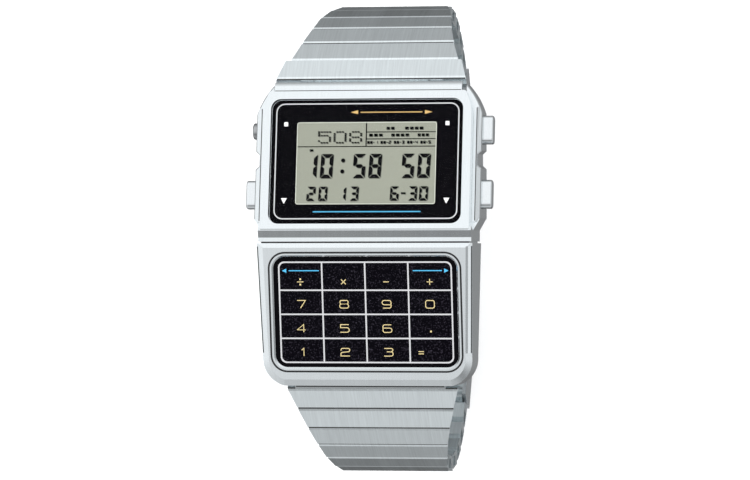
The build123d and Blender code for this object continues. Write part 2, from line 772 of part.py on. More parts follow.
with BuildPart() as button_springs:
    # On each side a leaf with two arms, its middle on the module's frame and its ends behind the stems
    contact_x = cavity_half - running_gap - clip_thickness - fit_gap
    pad_x = module_half + fit_gap
    pad_y = (upper_button + lower_button) / 2
    for side in (-1, 1):
        with BuildSketch(display_face.offset(-button_depth)):
            Polygon(
                (side * contact_x, lower_button - stem_radius),
                (side * contact_x, lower_button + stem_radius),
                (side * (pad_x + leaf_thickness), pad_y - leaf_pad),
                (side * (pad_x + leaf_thickness), pad_y + leaf_pad),
                (side * contact_x, upper_button - stem_radius),
                (side * contact_x, upper_button + stem_radius),
                (side * (contact_x - leaf_thickness), upper_button + stem_radius),
                (side * (contact_x - leaf_thickness), upper_button - stem_radius),
                (side * pad_x, pad_y + leaf_pad),
                (side * pad_x, pad_y - leaf_pad),
                (side * (contact_x - leaf_thickness), lower_button + stem_radius),
                (side * (contact_x - leaf_thickness), lower_button - stem_radius),
                align=None,
            )
        extrude(amount=leaf_height / 2, both=True)
button_springs.part.label = "button_springs"
export_step(button_springs.part, "parts/button_springs.step")

# Bracelet: pin places along the loop


def rise_to(pivot_y, pivot_z):
    """Rise of a half ellipse that passes through a pivot."""
    return (pivot_z + loop_middle) / sin(acos(pivot_y / loop_reach))


lower_rise = lower_rise_share * rise_to(lower_pivot_y, lower_pivot_z)
upper_rise = upper_rise_share * rise_to(upper_pivot_y, upper_pivot_z)


def loop_point(side, angle):
    """Place on the loop in (Y, Z), at an angle above or below its widest point, in radians."""
    rise = lower_rise if side < 0 else upper_rise
    height = rise if angle > 0 else loop_drop
    return side * loop_reach * cos(angle), height * sin(angle) - loop_middle


def next_pin(side, pin, angle, length):
    """The loop point one link further on, found by halving the span between two angles."""
    near, far = angle, angle - link_turn
    for _ in range(40):
        middle = (near + far) / 2
        y, z = loop_point(side, middle)
        if hypot(y - pin[0], z - pin[1]) < length:
            near = middle
        else:
            far = middle
    return loop_point(side, middle), middle


def pin_chain(side, pin, first_length):
    """Pins of one half of the bracelet, from the bar in the case to the clasp."""
    pins = [pin]
    angle = acos(abs(pin[0]) / loop_reach)
    for n in range(links_each_side):
        pin, angle = next_pin(side, pin, angle, link_pitch if n else first_length)
        pins.append(pin)
    return pins


def half_width(start_half, shares, n):
    """Half width of the bracelet at the near edge of link n."""
    return link_end_half + (start_half - link_end_half) * (shares[n] if n < len(shares) else 0)


def link(side, near_pin, far_pin, near_half, far_half, lift=0, draw=0):
    """A link folded from sheet, with an eye at its near end and ears with a pin at its far end.

    The lift raises the far end of its outer face over the line of the pins. The draw shortens that face.
    """
    length = hypot(far_pin[0] - near_pin[0], far_pin[1] - near_pin[1])
    along = ((far_pin[0] - near_pin[0]) / length, (far_pin[1] - near_pin[1]) / length)
    origin = (0, near_pin[0], near_pin[1])
    profile = Plane(origin=origin, x_dir=(0, *along), z_dir=(side, 0, 0))
    plan = Plane(origin=origin, x_dir=(0, *along), z_dir=(0, -side * along[1], side * along[0]))
    start = link_end + link_gap
    far = length + link_end
    root = length - ear_root
    top = far - draw
    root_rise = link_rise - sheet + lift * (root - start) / (top - start)
    with BuildPart() as folded:
        with BuildSketch(profile):
            Polygon(
                (start + near_bevel_run, link_rise),
                (start, link_rise - near_bevel_drop),
                (start, 0),
                (start + near_slant, -link_sink),
                (far - ear_slant, -link_sink),
                (far - ear_slant / 8, 0),
                (top, link_rise + lift),
                align=None,
            )
            Polygon(
                (start + sheet, link_rise - sheet),
                (root, root_rise),
                (root, sheet - link_sink),
                (start + near_slant + sheet / 2, sheet - link_sink),
                (start + sheet, 0),
                align=None,
                mode=Mode.SUBTRACT,
            )
        extrude(amount=near_half, both=True)
        with BuildSketch(plan):
            Polygon((start, near_half), (start, -near_half), (far, -far_half), (far, far_half), align=None)
        extrude(amount=link_rise * 2, both=True, mode=Mode.INTERSECT)
        with BuildSketch(profile):
            Polygon(
                (root, root_rise),
                (top, link_rise - sheet + lift),
                (far, 0),
                (far, -link_sink * 2),
                (root, -link_sink * 2),
                align=None,
            )
        extrude(amount=tongue_share * far_half + side_gap, both=True, mode=Mode.SUBTRACT)
        with BuildSketch(profile):
            with Locations((length, 0)):
                Circle(pin_radius)
        extrude(amount=far_half - pin_inset, both=True)
        with BuildSketch(profile):
            Rectangle(start + sheet / 2, tongue_thickness, align=(Align.MIN, Align.CENTER))
            Circle(eye_radius)
            Circle(pin_radius + running_gap, mode=Mode.SUBTRACT)
        extrude(amount=tongue_share * near_half, both=True)
    return folded.part


lower_pins = pin_chain(-1, (-lower_pivot_y, lower_pivot_z), link_pitch)
upper_pins = pin_chain(1, (upper_pivot_y, upper_pivot_z), head_link_pitch)

for word, side, pins, start_half, shares in (
        ("lower", -1, lower_pins, lower_start_half, lower_taper_shares),
        ("upper", 1, upper_pins, upper_second_half, upper_taper_shares)):
    for n in range(links_each_side):
        if side > 0 and n == 0:
            one_link = link(side, pins[n], pins[n + 1], upper_start_half, end_piece_half,
                            end_piece_lift, end_piece_draw)
        else:
            one_link = link(side, pins[n], pins[n + 1], half_width(start_half, shares, n),
                            half_width(start_half, shares, n + 1))
        one_link.label = f"{word}_link_{n + 1}"
        export_step(one_link, f"parts/{word}_link_{n + 1}.step")

with BuildPart() as lug_bars:
    for side, pin_y, pin_z, tongue in ((-1, lower_pivot_y, lower_pivot_z, lower_tongue),
                                       (1, upper_pivot_y, upper_pivot_z, upper_tongue)):
        with BuildSketch(Plane.YZ):
            with Locations((side * pin_y, pin_z)):
                Circle(pin_radius)
        extrude(amount=tongue + lug_radius * 3 - sheet, both=True)
lug_bars.part.label = "lug_bars"
export_step(lug_bars.part, "parts/lug_bars.step")

# Clasp: its pieces are arcs round one centre, which the last two pins and the loop's lowest point give


def centre_of(first, second, third):
    """Centre of the circle through three points."""
    (ax, ay), (bx, by), (cx, cy) = first, second, third
    twice_area = 2 * (ax * (by - cy) + bx * (cy - ay) + cx * (ay - by))
    a2, b2, c2 = ax * ax + ay * ay, bx * bx + by * by, cx * cx + cy * cy
    return ((a2 * (by - cy) + b2 * (cy - ay) + c2 * (ay - by)) / twice_area,
            (a2 * (cx - bx) + b2 * (ax - cx) + c2 * (bx - ax)) / twice_area)


clasp_start = lower_pins[-1]
clasp_end = upper_pins[-1]
clasp_centre = centre_of(clasp_start, (0, -loop_middle - loop_drop), clasp_end)
clasp_radius = hypot(clasp_start[0] - clasp_centre[0], clasp_start[1] - clasp_centre[1])
start_angle = atan2(clasp_start[1] - clasp_centre[1], clasp_start[0] - clasp_centre[0])
clasp_length = clasp_radius * (atan2(clasp_end[1] - clasp_centre[1], clasp_end[0] - clasp_centre[0])
                               - start_angle)


def clasp_point(place, rise):
    """Point in (Y, Z): a distance along the clasp from the tail's first pin, and a rise outwards."""
    angle = start_angle + place / clasp_radius
    return (clasp_centre[0] + (clasp_radius + rise) * cos(angle),
            clasp_centre[1] + (clasp_radius + rise) * sin(angle))


def arc_strip(start, end, inner, outer):
    """Face of a curved strip between two places along the clasp and two rises."""
    middle = (start + end) / 2
    with BuildLine() as outline:
        ThreePointArc(clasp_point(start, outer), clasp_point(middle, outer), clasp_point(end, outer))
        Line(clasp_point(end, outer), clasp_point(end, inner))
        ThreePointArc(clasp_point(end, inner), clasp_point(middle, inner), clasp_point(start, inner))
        Line(clasp_point(start, inner), clasp_point(start, outer))
    make_face(outline.edges())


def eye(place, rise, radius):
    """A round section at a place of the clasp."""
    with Locations(clasp_point(place, rise)):
        Circle(radius)


cover_start = link_end + link_gap + clasp_lip
cover_end = clasp_length - cover_start
cover_inner = link_rise + clasp_gap
flange_half = link_end_half + clasp_proud
tail_half = flange_half - clasp_wall - flange_gap

with BuildPart() as clasp_cover:
    with BuildSketch(Plane.YZ):
        arc_strip(cover_start, cover_end, -flange_drop, cover_inner + clasp_wall)
    extrude(amount=flange_half, both=True)
    with BuildSketch(Plane.YZ):
        arc_strip(cover_start - clasp_wall, cover_end + clasp_wall, -flange_drop * 2, cover_inner)
    extrude(amount=flange_half - clasp_wall, both=True, mode=Mode.SUBTRACT)
    with BuildSketch(Plane.YZ):
        eye(blade_hinge, -hinge_drop, pin_radius)
        eye(lock_hinge, -lock_hinge_drop, lock_pin_radius)
    extrude(amount=flange_half - clasp_wall / 2, both=True)
clasp_cover.part.label = "clasp_cover"
export_step(clasp_cover.part, "parts/clasp_cover.step")

tail_step = 2 * atan2(link_pitch / 2, sqrt(clasp_radius ** 2 - (link_pitch / 2) ** 2)) * clasp_radius
with BuildPart() as band_tail:
    for n in range(tail_links):
        near, far = clasp_point(n * tail_step, 0), clasp_point((n + 1) * tail_step, 0)
        add(link(-1, near, far, tail_half, tail_half))
band_tail.part.label = "band_tail"
export_step(band_tail.part, "parts/band_tail.step")

with BuildPart() as clasp_blade:
    blade_end = clasp_length - link_end - link_gap - hook_gap
    blade_inner = -blade_middle - blade_thickness / 2
    with BuildSketch(Plane.YZ):
        arc_strip(blade_hinge, blade_end, blade_inner, blade_inner + blade_thickness)
        eye(blade_hinge, -hinge_drop, hinge_eye)
    extrude(amount=blade_half, both=True)
    with BuildSketch(Plane.YZ):
        eye(blade_hinge, -hinge_drop, pin_radius + running_gap)
    extrude(amount=blade_half, both=True, mode=Mode.SUBTRACT)
    with BuildSketch(Plane.YZ):
        arc_strip(blade_end - hook_length, blade_end, -blade_middle, hook_rise)
    extrude(amount=hook_half, both=True)
clasp_blade.part.label = "clasp_blade"
export_step(clasp_blade.part, "parts/clasp_blade.step")

with BuildPart() as clasp_lock:
    lock_end = blade_hinge - lock_clear
    lock_inner = -lock_middle - lock_thickness / 2
    with BuildSketch(Plane.YZ):
        arc_strip(lock_hinge, lock_end, lock_inner, lock_inner + lock_thickness)
        arc_strip(lock_end - lock_thickness, lock_end, lock_inner - lock_grip, -lock_middle)
        eye(lock_hinge, -lock_hinge_drop, lock_eye)
    extrude(amount=lock_half, both=True)
    with BuildSketch(Plane.YZ):
        eye(lock_hinge, -lock_hinge_drop, lock_pin_radius + running_gap)
    extrude(amount=lock_half, both=True, mode=Mode.SUBTRACT)
clasp_lock.part.label = "clasp_lock"
export_step(clasp_lock.part, "parts/clasp_lock.step")
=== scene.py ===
import json
from math import cos, pi, radians, sin, tan

import bmesh
import bpy
import numpy as np
from mathutils import Matrix, Vector


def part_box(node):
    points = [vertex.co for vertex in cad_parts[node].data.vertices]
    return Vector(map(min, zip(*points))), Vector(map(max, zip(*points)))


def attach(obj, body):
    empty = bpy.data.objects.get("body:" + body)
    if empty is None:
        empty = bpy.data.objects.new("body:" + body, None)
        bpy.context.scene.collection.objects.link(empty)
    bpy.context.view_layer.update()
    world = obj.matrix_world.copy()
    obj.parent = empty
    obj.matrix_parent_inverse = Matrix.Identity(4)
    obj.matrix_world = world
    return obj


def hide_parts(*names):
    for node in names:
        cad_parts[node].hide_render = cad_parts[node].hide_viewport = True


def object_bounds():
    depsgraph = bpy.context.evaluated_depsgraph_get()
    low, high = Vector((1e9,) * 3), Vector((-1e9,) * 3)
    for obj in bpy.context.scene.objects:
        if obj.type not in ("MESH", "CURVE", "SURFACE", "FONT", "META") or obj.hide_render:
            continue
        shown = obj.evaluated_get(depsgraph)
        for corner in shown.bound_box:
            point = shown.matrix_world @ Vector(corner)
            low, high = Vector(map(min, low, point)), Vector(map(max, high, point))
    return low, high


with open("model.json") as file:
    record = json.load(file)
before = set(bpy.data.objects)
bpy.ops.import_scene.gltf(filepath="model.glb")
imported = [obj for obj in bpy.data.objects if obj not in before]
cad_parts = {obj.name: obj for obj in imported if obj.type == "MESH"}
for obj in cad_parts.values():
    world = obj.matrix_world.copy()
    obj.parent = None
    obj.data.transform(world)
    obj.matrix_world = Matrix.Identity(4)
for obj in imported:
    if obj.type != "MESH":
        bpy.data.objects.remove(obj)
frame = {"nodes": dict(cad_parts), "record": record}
cad_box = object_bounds()
nodes = frame["nodes"]
MM = 0.001

# Case shell
# The shell is a plated metal casting: a display half and a keypad half under two sloping faces.
# It is polished all over, and the polish leaves a very fine hairline that runs towards 12 o'clock.


def new_material(name, colour, metallic=0.0, roughness=0.5, specular=0.5):
    """A material and its Principled shader, with the given values set on the shader's sockets."""
    material = bpy.data.materials.new(name)
    material.use_nodes = True
    shader = material.node_tree.nodes["Principled BSDF"]
    shader.inputs["Base Color"].default_value = (*colour, 1.0)
    shader.inputs["Metallic"].default_value = metallic
    shader.inputs["Roughness"].default_value = roughness
    shader.inputs["Specular IOR Level"].default_value = specular
    return material, shader


def add_node(tree, kind, **values):
    """A node of a tree, with the named input sockets or settings given their values."""
    node = tree.nodes.new(kind)
    for key, value in values.items():
        if key in node.inputs:
            node.inputs[key].default_value = value
        else:
            setattr(node, key, value)
    return node


def add_bump(tree, shader, height, strength, distance):
    """A bump on the shader's normal, raised by a height socket over a distance in millimetres."""
    dent = add_node(tree, "ShaderNodeBump", Strength=strength, Distance=distance * MM)
    tree.links.new(height, dent.inputs["Height"])
    tree.links.new(dent.outputs["Normal"], shader.inputs["Normal"])


def hairline_group():
    """Brushed metal: noise drawn out along the brush, by scaling its coordinates up a lot across the
    brush and little along it. The same at two sizes gives fine scratches and broad soft streaks."""
    tree = bpy.data.node_groups.new("hairline", "ShaderNodeTree")
    for name, kind in (("Across", "Float"), ("Along", "Float"), ("Vector", "Vector")):
        tree.interface.new_socket(name, in_out="INPUT", socket_type="NodeSocket" + kind)
    for name in ("Scratch", "Streak"):
        tree.interface.new_socket(name, in_out="OUTPUT", socket_type="NodeSocketFloat")
    start = tree.nodes.new("NodeGroupInput")
    end = tree.nodes.new("NodeGroupOutput")
    scale = tree.nodes.new("ShaderNodeCombineXYZ")
    tree.links.new(start.outputs["Across"], scale.inputs["X"])
    tree.links.new(start.outputs["Along"], scale.inputs["Y"])
    tree.links.new(start.outputs["Along"], scale.inputs["Z"])
    stretched = add_node(tree, "ShaderNodeVectorMath", operation="MULTIPLY")
    tree.links.new(start.outputs["Vector"], stretched.inputs[0])
    tree.links.new(scale.outputs["Vector"], stretched.inputs[1])
    fine = add_node(tree, "ShaderNodeTexNoise", Scale=1.0, Detail=3.0, Roughness=0.65)
    broad = add_node(tree, "ShaderNodeTexNoise", Scale=0.12, Detail=2.0, Roughness=0.5)
    for noise, output in ((fine, "Scratch"), (broad, "Streak")):
        tree.links.new(stretched.outputs["Vector"], noise.inputs["Vector"])
        tree.links.new(noise.outputs["Fac"], end.inputs[output])
    return tree


def brushed_metal(name, colour, roughness, across=9000.0, along=250.0, bump=0.15, turn=0.0, spread=0.12,
                  darkest=0.9):
    """Steel brushed by the hairline group: its streaks vary the roughness, and its scratches dent the
    metal and darken it, to the darkest share of its colour. The turn about Z lays the brush along Y
    when it is nought and along X when it is a right angle."""
    material, shader = new_material(name, colour, metallic=1.0, roughness=roughness)
    tree = material.node_tree
    place = add_node(tree, "ShaderNodeTexCoord")
    turned = add_node(tree, "ShaderNodeMapping", Rotation=(0.0, 0.0, turn))
    brush = add_node(tree, "ShaderNodeGroup", node_tree=hairline, Across=across, Along=along)
    rough = add_node(tree, "ShaderNodeMapRange")
    rough.inputs["To Min"].default_value = roughness - spread / 2
    rough.inputs["To Max"].default_value = roughness + spread
    tone = add_node(tree, "ShaderNodeMapRange")
    tone.inputs["From Min"].default_value = 0.3
    tone.inputs["From Max"].default_value = 0.7
    tone.inputs["To Min"].default_value = darkest
    shade = add_node(tree, "ShaderNodeVectorMath", operation="SCALE")
    shade.inputs[0].default_value = colour
    tree.links.new(place.outputs["Object"], turned.inputs["Vector"])
    tree.links.new(turned.outputs["Vector"], brush.inputs["Vector"])
    tree.links.new(brush.outputs["Streak"], rough.inputs["Value"])
    tree.links.new(rough.outputs["Result"], shader.inputs["Roughness"])
    tree.links.new(brush.outputs["Scratch"], tone.inputs["Value"])
    tree.links.new(tone.outputs["Result"], shade.inputs["Scale"])
    tree.links.new(shade.outputs["Vector"], shader.inputs["Base Color"])
    add_bump(tree, shader, brush.outputs["Scratch"], strength=bump, distance=0.02)
    return material


def dress(node_name, material):
    """Gives a CAD node its finished material, in every slot that its mesh has."""
    mesh = nodes[node_name].data
    if not mesh.materials:
        mesh.materials.append(material)
    for n in range(len(mesh.materials)):
        mesh.materials[n] = material


hairline = hairline_group()
plated = brushed_metal("plated_case", (0.84, 0.88, 0.9), 0.17, across=7000.0, along=300.0, bump=0.05,
                       spread=0.05, darkest=0.96)
dress("case_body", plated)

# Case back, its gasket and its screws
# A steel plate, brushed across, closes the hall of the module. It sits in a rebate on a rubber
# gasket, and four small steel screws with crossed slots hold it.


def grain_group():
    """Fine irregular grain: noise over a vector, laid between a low and a high value."""
    tree = bpy.data.node_groups.new("grain", "ShaderNodeTree")
    for name in ("Scale", "Detail", "Roughness", "Low", "High"):
        tree.interface.new_socket(name, in_out="INPUT", socket_type="NodeSocketFloat")
    tree.interface.new_socket("Vector", in_out="INPUT", socket_type="NodeSocketVector")
    tree.interface.new_socket("Value", in_out="OUTPUT", socket_type="NodeSocketFloat")
    start = tree.nodes.new("NodeGroupInput")
    end = tree.nodes.new("NodeGroupOutput")
    noise = tree.nodes.new("ShaderNodeTexNoise")
    for name in ("Vector", "Scale", "Detail", "Roughness"):
        tree.links.new(start.outputs[name], noise.inputs[name])
    laid = tree.nodes.new("ShaderNodeMapRange")
    tree.links.new(noise.outputs["Fac"], laid.inputs["Value"])
    tree.links.new(start.outputs["Low"], laid.inputs["To Min"])
    tree.links.new(start.outputs["High"], laid.inputs["To Max"])
    tree.links.new(laid.outputs["Result"], end.inputs["Value"])
    return tree


def add_grain(tree, scale, detail=2.0, low=0.0, high=1.0, roughness=0.5):
    """The grain group on the piece's Object coordinates. Returns its value."""
    place = add_node(tree, "ShaderNodeTexCoord")
    node = add_node(tree, "ShaderNodeGroup", node_tree=grain, Scale=scale, Detail=detail, Roughness=roughness,
                    Low=low, High=high)
    tree.links.new(place.outputs["Object"], node.inputs["Vector"])
    return node.outputs["Value"]


grain = grain_group()
back_steel = brushed_metal("case_back_steel", (0.62, 0.62, 0.625), 0.28, turn=pi / 2)
screw_steel = brushed_metal("screw_steel", (0.55, 0.56, 0.57), 0.3, across=12000.0, along=2500.0)
dress("case_back", back_steel)
dress("case_back_screws", screw_steel)

gasket_rubber, shader = new_material("gasket_rubber", (0.02, 0.02, 0.02), roughness=0.7)
tree = gasket_rubber.node_tree
add_bump(tree, shader, add_grain(tree, 4000.0), strength=0.2, distance=0.02)
dress("back_gasket", gasket_rubber)

# Module inside the case
# A moulded black frame holds a green circuit board. A coin cell lies under the board, held by a
# spring strap, and leaf springs on both sides push the buttons out.


def mix_colours(tree, factor, first, second):
    """The mix of two colours by a factor socket. Returns the mixed colour."""
    blend = add_node(tree, "ShaderNodeMix", data_type="RGBA")
    blend.inputs["A"].default_value = (*first, 1.0)
    blend.inputs["B"].default_value = (*second, 1.0)
    tree.links.new(factor, blend.inputs["Factor"])
    return blend.outputs["Result"]


def speckled(name, colour, second, scale, roughness):
    """Two colours mixed by fine grain, with the same grain as a low bump."""
    material, shader = new_material(name, colour, roughness=roughness)
    tree = material.node_tree
    speck = add_grain(tree, scale, detail=3.0, roughness=0.6)
    tree.links.new(mix_colours(tree, speck, colour, second), shader.inputs["Base Color"])
    add_bump(tree, shader, speck, strength=0.1, distance=0.03)
    return material


dress("module_frame", speckled("module_plastic", (0.03, 0.03, 0.033), (0.05, 0.05, 0.055), 3000.0, 0.45))
dress("main_board", speckled("circuit_board", (0.02, 0.12, 0.05), (0.035, 0.17, 0.07), 1500.0, 0.3))
dress("battery", brushed_metal("battery_steel", (0.7, 0.69, 0.67), 0.22))
dress("battery_strap", brushed_metal("strap_steel", (0.6, 0.6, 0.58), 0.25))
dress("button_springs", brushed_metal("spring_steel", (0.6, 0.59, 0.56), 0.25))
dress("key_domes", brushed_metal("dome_steel", (0.62, 0.62, 0.6), 0.2, across=5000.0, along=900.0))

# Display
# A reflective liquid crystal panel: grey-green glass, with dark segments in its upper polariser.
# The segments float a little above the reflector, so each throws a faint grey shadow on it.

FACE_TILT = radians(9.0)
RIDGE_HEIGHT = 9.6
RIDGE = np.array((0.0, 0.0, RIDGE_HEIGHT * MM))
ACROSS = np.array((1.0, 0.0, 0.0))
DISPLAY_UP = np.array((0.0, cos(FACE_TILT), -sin(FACE_TILT)))
DISPLAY_OUT = np.array((0.0, sin(FACE_TILT), cos(FACE_TILT)))

# Left, right, bottom and top of the part of the panel that shows, in millimetres on the face
OPENING = (-10.74, 10.56, 5.2, 17.74)

# Lowest and highest level of the segments and of their shadow under the face, and the shadow's shift
SEGMENT_LAYER, SHADOW_LAYER, SHADOW_SHIFT = (-1.03, -1.02), (-1.046, -1.04), (0.09, -0.1)

# Bottom, width and height of a digit, thickness of its bars and the gap between them
DIGIT_BOTTOM, DIGIT_HEIGHT = 9.18, 3.7
DIGIT = (DIGIT_BOTTOM, 1.9, DIGIT_HEIGHT, 0.57, 0.08)
SMALL_DIGIT = (5.73, 1.34, 2.18, 0.39, 0.07)
MARK_DIGIT = (14.4, 0.42, 0.48, 0.13, 0.01)
SLANT = tan(radians(3.0))

# Bars that are lit in each digit, named a to g as on every such display
LIT = {"0": "abcdef", "1": "bc", "2": "abged", "3": "abgcd", "4": "fgbc", "5": "afgcd", "6": "afgedc",
       "8": "abcdefg"}

# Text, left edge, pitch and kind of each group of digits
DIGIT_GROUPS = (("10", -9.44, 2.42, DIGIT), ("58", -2.05, 2.42, DIGIT), ("50", 5.37, 2.42, DIGIT),
                ("20", -9.02, 1.81, SMALL_DIGIT), ("13", -4.36, 1.92, SMALL_DIGIT),
                ("6", 3.69, 1.66, SMALL_DIGIT), ("30", 6.45, 1.66, SMALL_DIGIT))

# Place of the colon, levels, radius and sides of its dots, and the boxes of a dash and an hour mark
COLON_X, COLON_DOTS, COLON_RADIUS, COLON_SIDES = -3.64, (10.22, 11.9), 0.31, 16
DATE_DASH, HOUR_MARK = (5.33, 6.05, 6.74, 7.0), (-8.75, -8.2, 13.3, 13.62)

# The number on the dot matrix: its lower left corner, pitch of dots and of numbers, size of a dot
MATRIX_LEFT, MATRIX_BOTTOM = -7.54, 14.5
DOT_PITCH_X, DOT_PITCH_Y, NUMBER_PITCH = 0.42, 0.275, 5.67 * 0.42
DOT_WIDTH, DOT_HEIGHT = 0.74 * DOT_PITCH_X, 0.8 * DOT_PITCH_Y
MATRIX = {"0": "01110 10001 10001 10001 10001 10001 01110",
          "5": "11111 10000 11110 00001 00001 10001 01110",
          "8": "01110 10001 10001 01110 10001 10001 01110"}

# Rows of small blocks: left, right, bottom and number of blocks, each block a share of its pitch
BLOCK_ROWS = ((2.9, 4.3, 16.57, 2), (5.74, 8.69, 16.57, 4), (0.28, 2.53, 15.53, 3), (3.65, 6.54, 15.53, 4),
              (7.67, 9.53, 15.53, 3))
BLOCK_SHARE, BLOCK_HEIGHT = 0.74, 0.42

# Five numbered marks: left edge and bottom of the first, pitch, two blocks and a dash before the digit
MARK_LEFT, MARK_BOTTOM, MARK_PITCH = 0.02, 14.42, 2.02
MARK_BLOCKS, MARK_DASH, MARK_DIGIT_LEFT = ((0.0, 0.36), (0.46, 0.8)), (0.88, 1.1, 0.18, 0.28), 1.2

# Thin lines between the fields: three level ones from their lower edge, and an upright one
LINE, LOW_LINE, MIDDLE_LINE, HIGH_LINE = 0.14, 13.94, 15.08, 16.14
UPRIGHT_LEFT, UPRIGHT_RIGHT = -0.24, -0.06


def on_display(points, rise):
    """Points in millimetres on the display face, x across and y from the ridge towards 12 o'clock,
    lifted along the face's normal: origin + x times across + y times up + rise times out."""
    points = np.asarray(points, float)
    return (RIDGE + points[:, :1] * MM * ACROSS + points[:, 1:2] * MM * DISPLAY_UP
            + rise * MM * DISPLAY_OUT)


def new_piece(name, points, faces, material):
    """An object at the origin, from rings of points in metres and lists of faces."""
    mesh = bpy.data.meshes.new(name)
    mesh.from_pydata(np.concatenate(points).tolist(), [], faces)
    mesh.materials.append(material)
    piece = bpy.data.objects.new(name, mesh)
    bpy.context.scene.collection.objects.link(piece)
    return piece


def flat_pieces(name, outlines, low, high, place, material):
    """One object of thin prisms. Each closed outline gives a lower and an upper ring of points, the
    two joined by a wall of quads and closed by one face each."""
    rings, faces, first = [], [], 0
    for outline in outlines:
        outline = np.asarray(outline, float)
        x, y = outline.T
        if np.sum(x * np.roll(y, -1) - np.roll(x, -1) * y) < 0:
            outline = outline[::-1]
        count = len(outline)
        rings += [place(outline, low), place(outline, high)]
        here = np.arange(count)
        after = (here + 1) % count
        walls = np.stack([here, after, after + count, here + count], 1) + first
        faces += walls.tolist()
        faces += [(here[::-1] + first).tolist(), (here + count + first).tolist()]
        first += 2 * count
    return new_piece(name, rings, faces, material)


def box_outline(left, right, bottom, top):
    """A plain rectangle."""
    return [(left, bottom), (right, bottom), (right, top), (left, top)]


def segment_shapes(width, height, thick, gap):
    """The seven bars of a digit as outlines with mitred ends, in a cell from (0, 0) to (width, height)."""
    half, middle = thick / 2, height / 2
    inner, outer, upper = thick + gap, width - thick - gap, height - thick
    top = [(gap, height), (width - gap, height), (outer, upper), (inner, upper)]
    side = [(width, height - gap), (width, middle + gap / 2), (width - half, middle + gap / 2),
            (width - thick, middle + half + gap / 2), (width - thick, upper - gap)]
    bar = [(half + gap, middle), (inner, middle + half), (outer, middle + half),
           (width - half - gap, middle), (outer, middle - half), (inner, middle - half)]
    flip_y = [(x, height - y) for x, y in side]
    return {"a": top, "b": side, "c": flip_y, "d": [(x, height - y) for x, y in top],
            "e": [(width - x, y) for x, y in flip_y], "f": [(width - x, y) for x, y in side], "g": bar}


def digit_outlines(text, left, bottom, width, height, thick, gap, pitch=0.0):
    """Outlines of a row of digits, leaning by the slant: x grows with the height above the row's middle."""
    outlines = []
    for n, digit in enumerate(text):
        for part in LIT[digit]:
            shape = np.array(segment_shapes(width, height, thick, gap)[part])
            shape[:, 0] += (shape[:, 1] - height / 2) * SLANT + left + n * pitch
            shape[:, 1] += bottom
            outlines.append(shape)
    return outlines


def dotted(text):
    """Numbers on a matrix five dots wide and seven high, one dot for each 1 of the pattern."""
    outlines = []
    for n, digit in enumerate(text):
        for row, line in enumerate(reversed(MATRIX[digit].split())):
            for column, dot in enumerate(line):
                if dot == "1":
                    x = MATRIX_LEFT + n * NUMBER_PITCH + column * DOT_PITCH_X
                    y = MATRIX_BOTTOM + row * DOT_PITCH_Y
                    outlines.append(box_outline(x, x + DOT_WIDTH, y, y + DOT_HEIGHT))
    return outlines


shown = []
for text, left, pitch, kind in DIGIT_GROUPS:
    shown += digit_outlines(text, left, *kind, pitch)
turn = np.linspace(0, 2 * pi, COLON_SIDES, endpoint=False)
for y in COLON_DOTS:
    x = COLON_X + (y - DIGIT_BOTTOM - DIGIT_HEIGHT / 2) * SLANT
    shown.append(np.stack([x + COLON_RADIUS * np.cos(turn), y + COLON_RADIUS * np.sin(turn)], 1))
shown += dotted("508")
shown += [box_outline(*DATE_DASH), box_outline(*HOUR_MARK)]
for left, right, bottom, count in BLOCK_ROWS:
    pitch = (right - left) / count
    shown += [box_outline(left + n * pitch, left + (n + BLOCK_SHARE) * pitch, bottom, bottom + BLOCK_HEIGHT)
              for n in range(count)]
for n, digit in enumerate("12345"):
    left = MARK_LEFT + n * MARK_PITCH
    shown += [box_outline(left + start, left + end, MARK_BOTTOM, MARK_BOTTOM + BLOCK_HEIGHT)
              for start, end in MARK_BLOCKS]
    start, end, low, high = MARK_DASH
    shown.append(box_outline(left + start, left + end, MARK_BOTTOM + low, MARK_BOTTOM + high))
    shown += digit_outlines(digit, left + MARK_DIGIT_LEFT, *MARK_DIGIT)
display_left, display_right, _, display_top = OPENING
thin_lines = [box_outline(display_left, display_right, LOW_LINE, LOW_LINE + LINE),
              box_outline(UPRIGHT_LEFT, UPRIGHT_RIGHT, LOW_LINE + LINE, display_top),
              box_outline(UPRIGHT_RIGHT, display_right, HIGH_LINE, HIGH_LINE + LINE),
              box_outline(UPRIGHT_RIGHT, display_right, MIDDLE_LINE, MIDDLE_LINE + LINE)]

segment_ink, shader = new_material("display_segments", (0.002, 0.002, 0.0025), roughness=0.45, specular=0.02)
tree = segment_ink.node_tree
tree.links.new(add_grain(tree, 900.0, low=0.38, high=0.52), shader.inputs["Roughness"])
segments = flat_pieces("display_segments", shown + thin_lines, *SEGMENT_LAYER, on_display, segment_ink)
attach(segments, "case")

segment_shade, shader = new_material("segment_shadow", (0.1, 0.105, 0.09), roughness=0.6)
tree = segment_shade.node_tree
tree.links.new(add_grain(tree, 1500.0, low=0.15, high=0.3), shader.inputs["Alpha"])
shadow = flat_pieces("segment_shadow", [np.asarray(shape) + SHADOW_SHIFT for shape in shown], *SHADOW_LAYER,
                     on_display, segment_shade)
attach(shadow, "case")

PANEL_DARK, PANEL_LIGHT = (0.216, 0.226, 0.184), (0.236, 0.246, 0.202)
panel_glass, shader = new_material("display_panel", PANEL_DARK, roughness=0.5, specular=0.15)
tree = panel_glass.node_tree
mottle = add_grain(tree, 120.0)
tree.links.new(mix_colours(tree, mottle, PANEL_DARK, PANEL_LIGHT), shader.inputs["Base Color"])
add_bump(tree, shader, add_grain(tree, 14000.0, detail=1.0), strength=0.15, distance=0.01)
dress("lcd_panel", panel_glass)

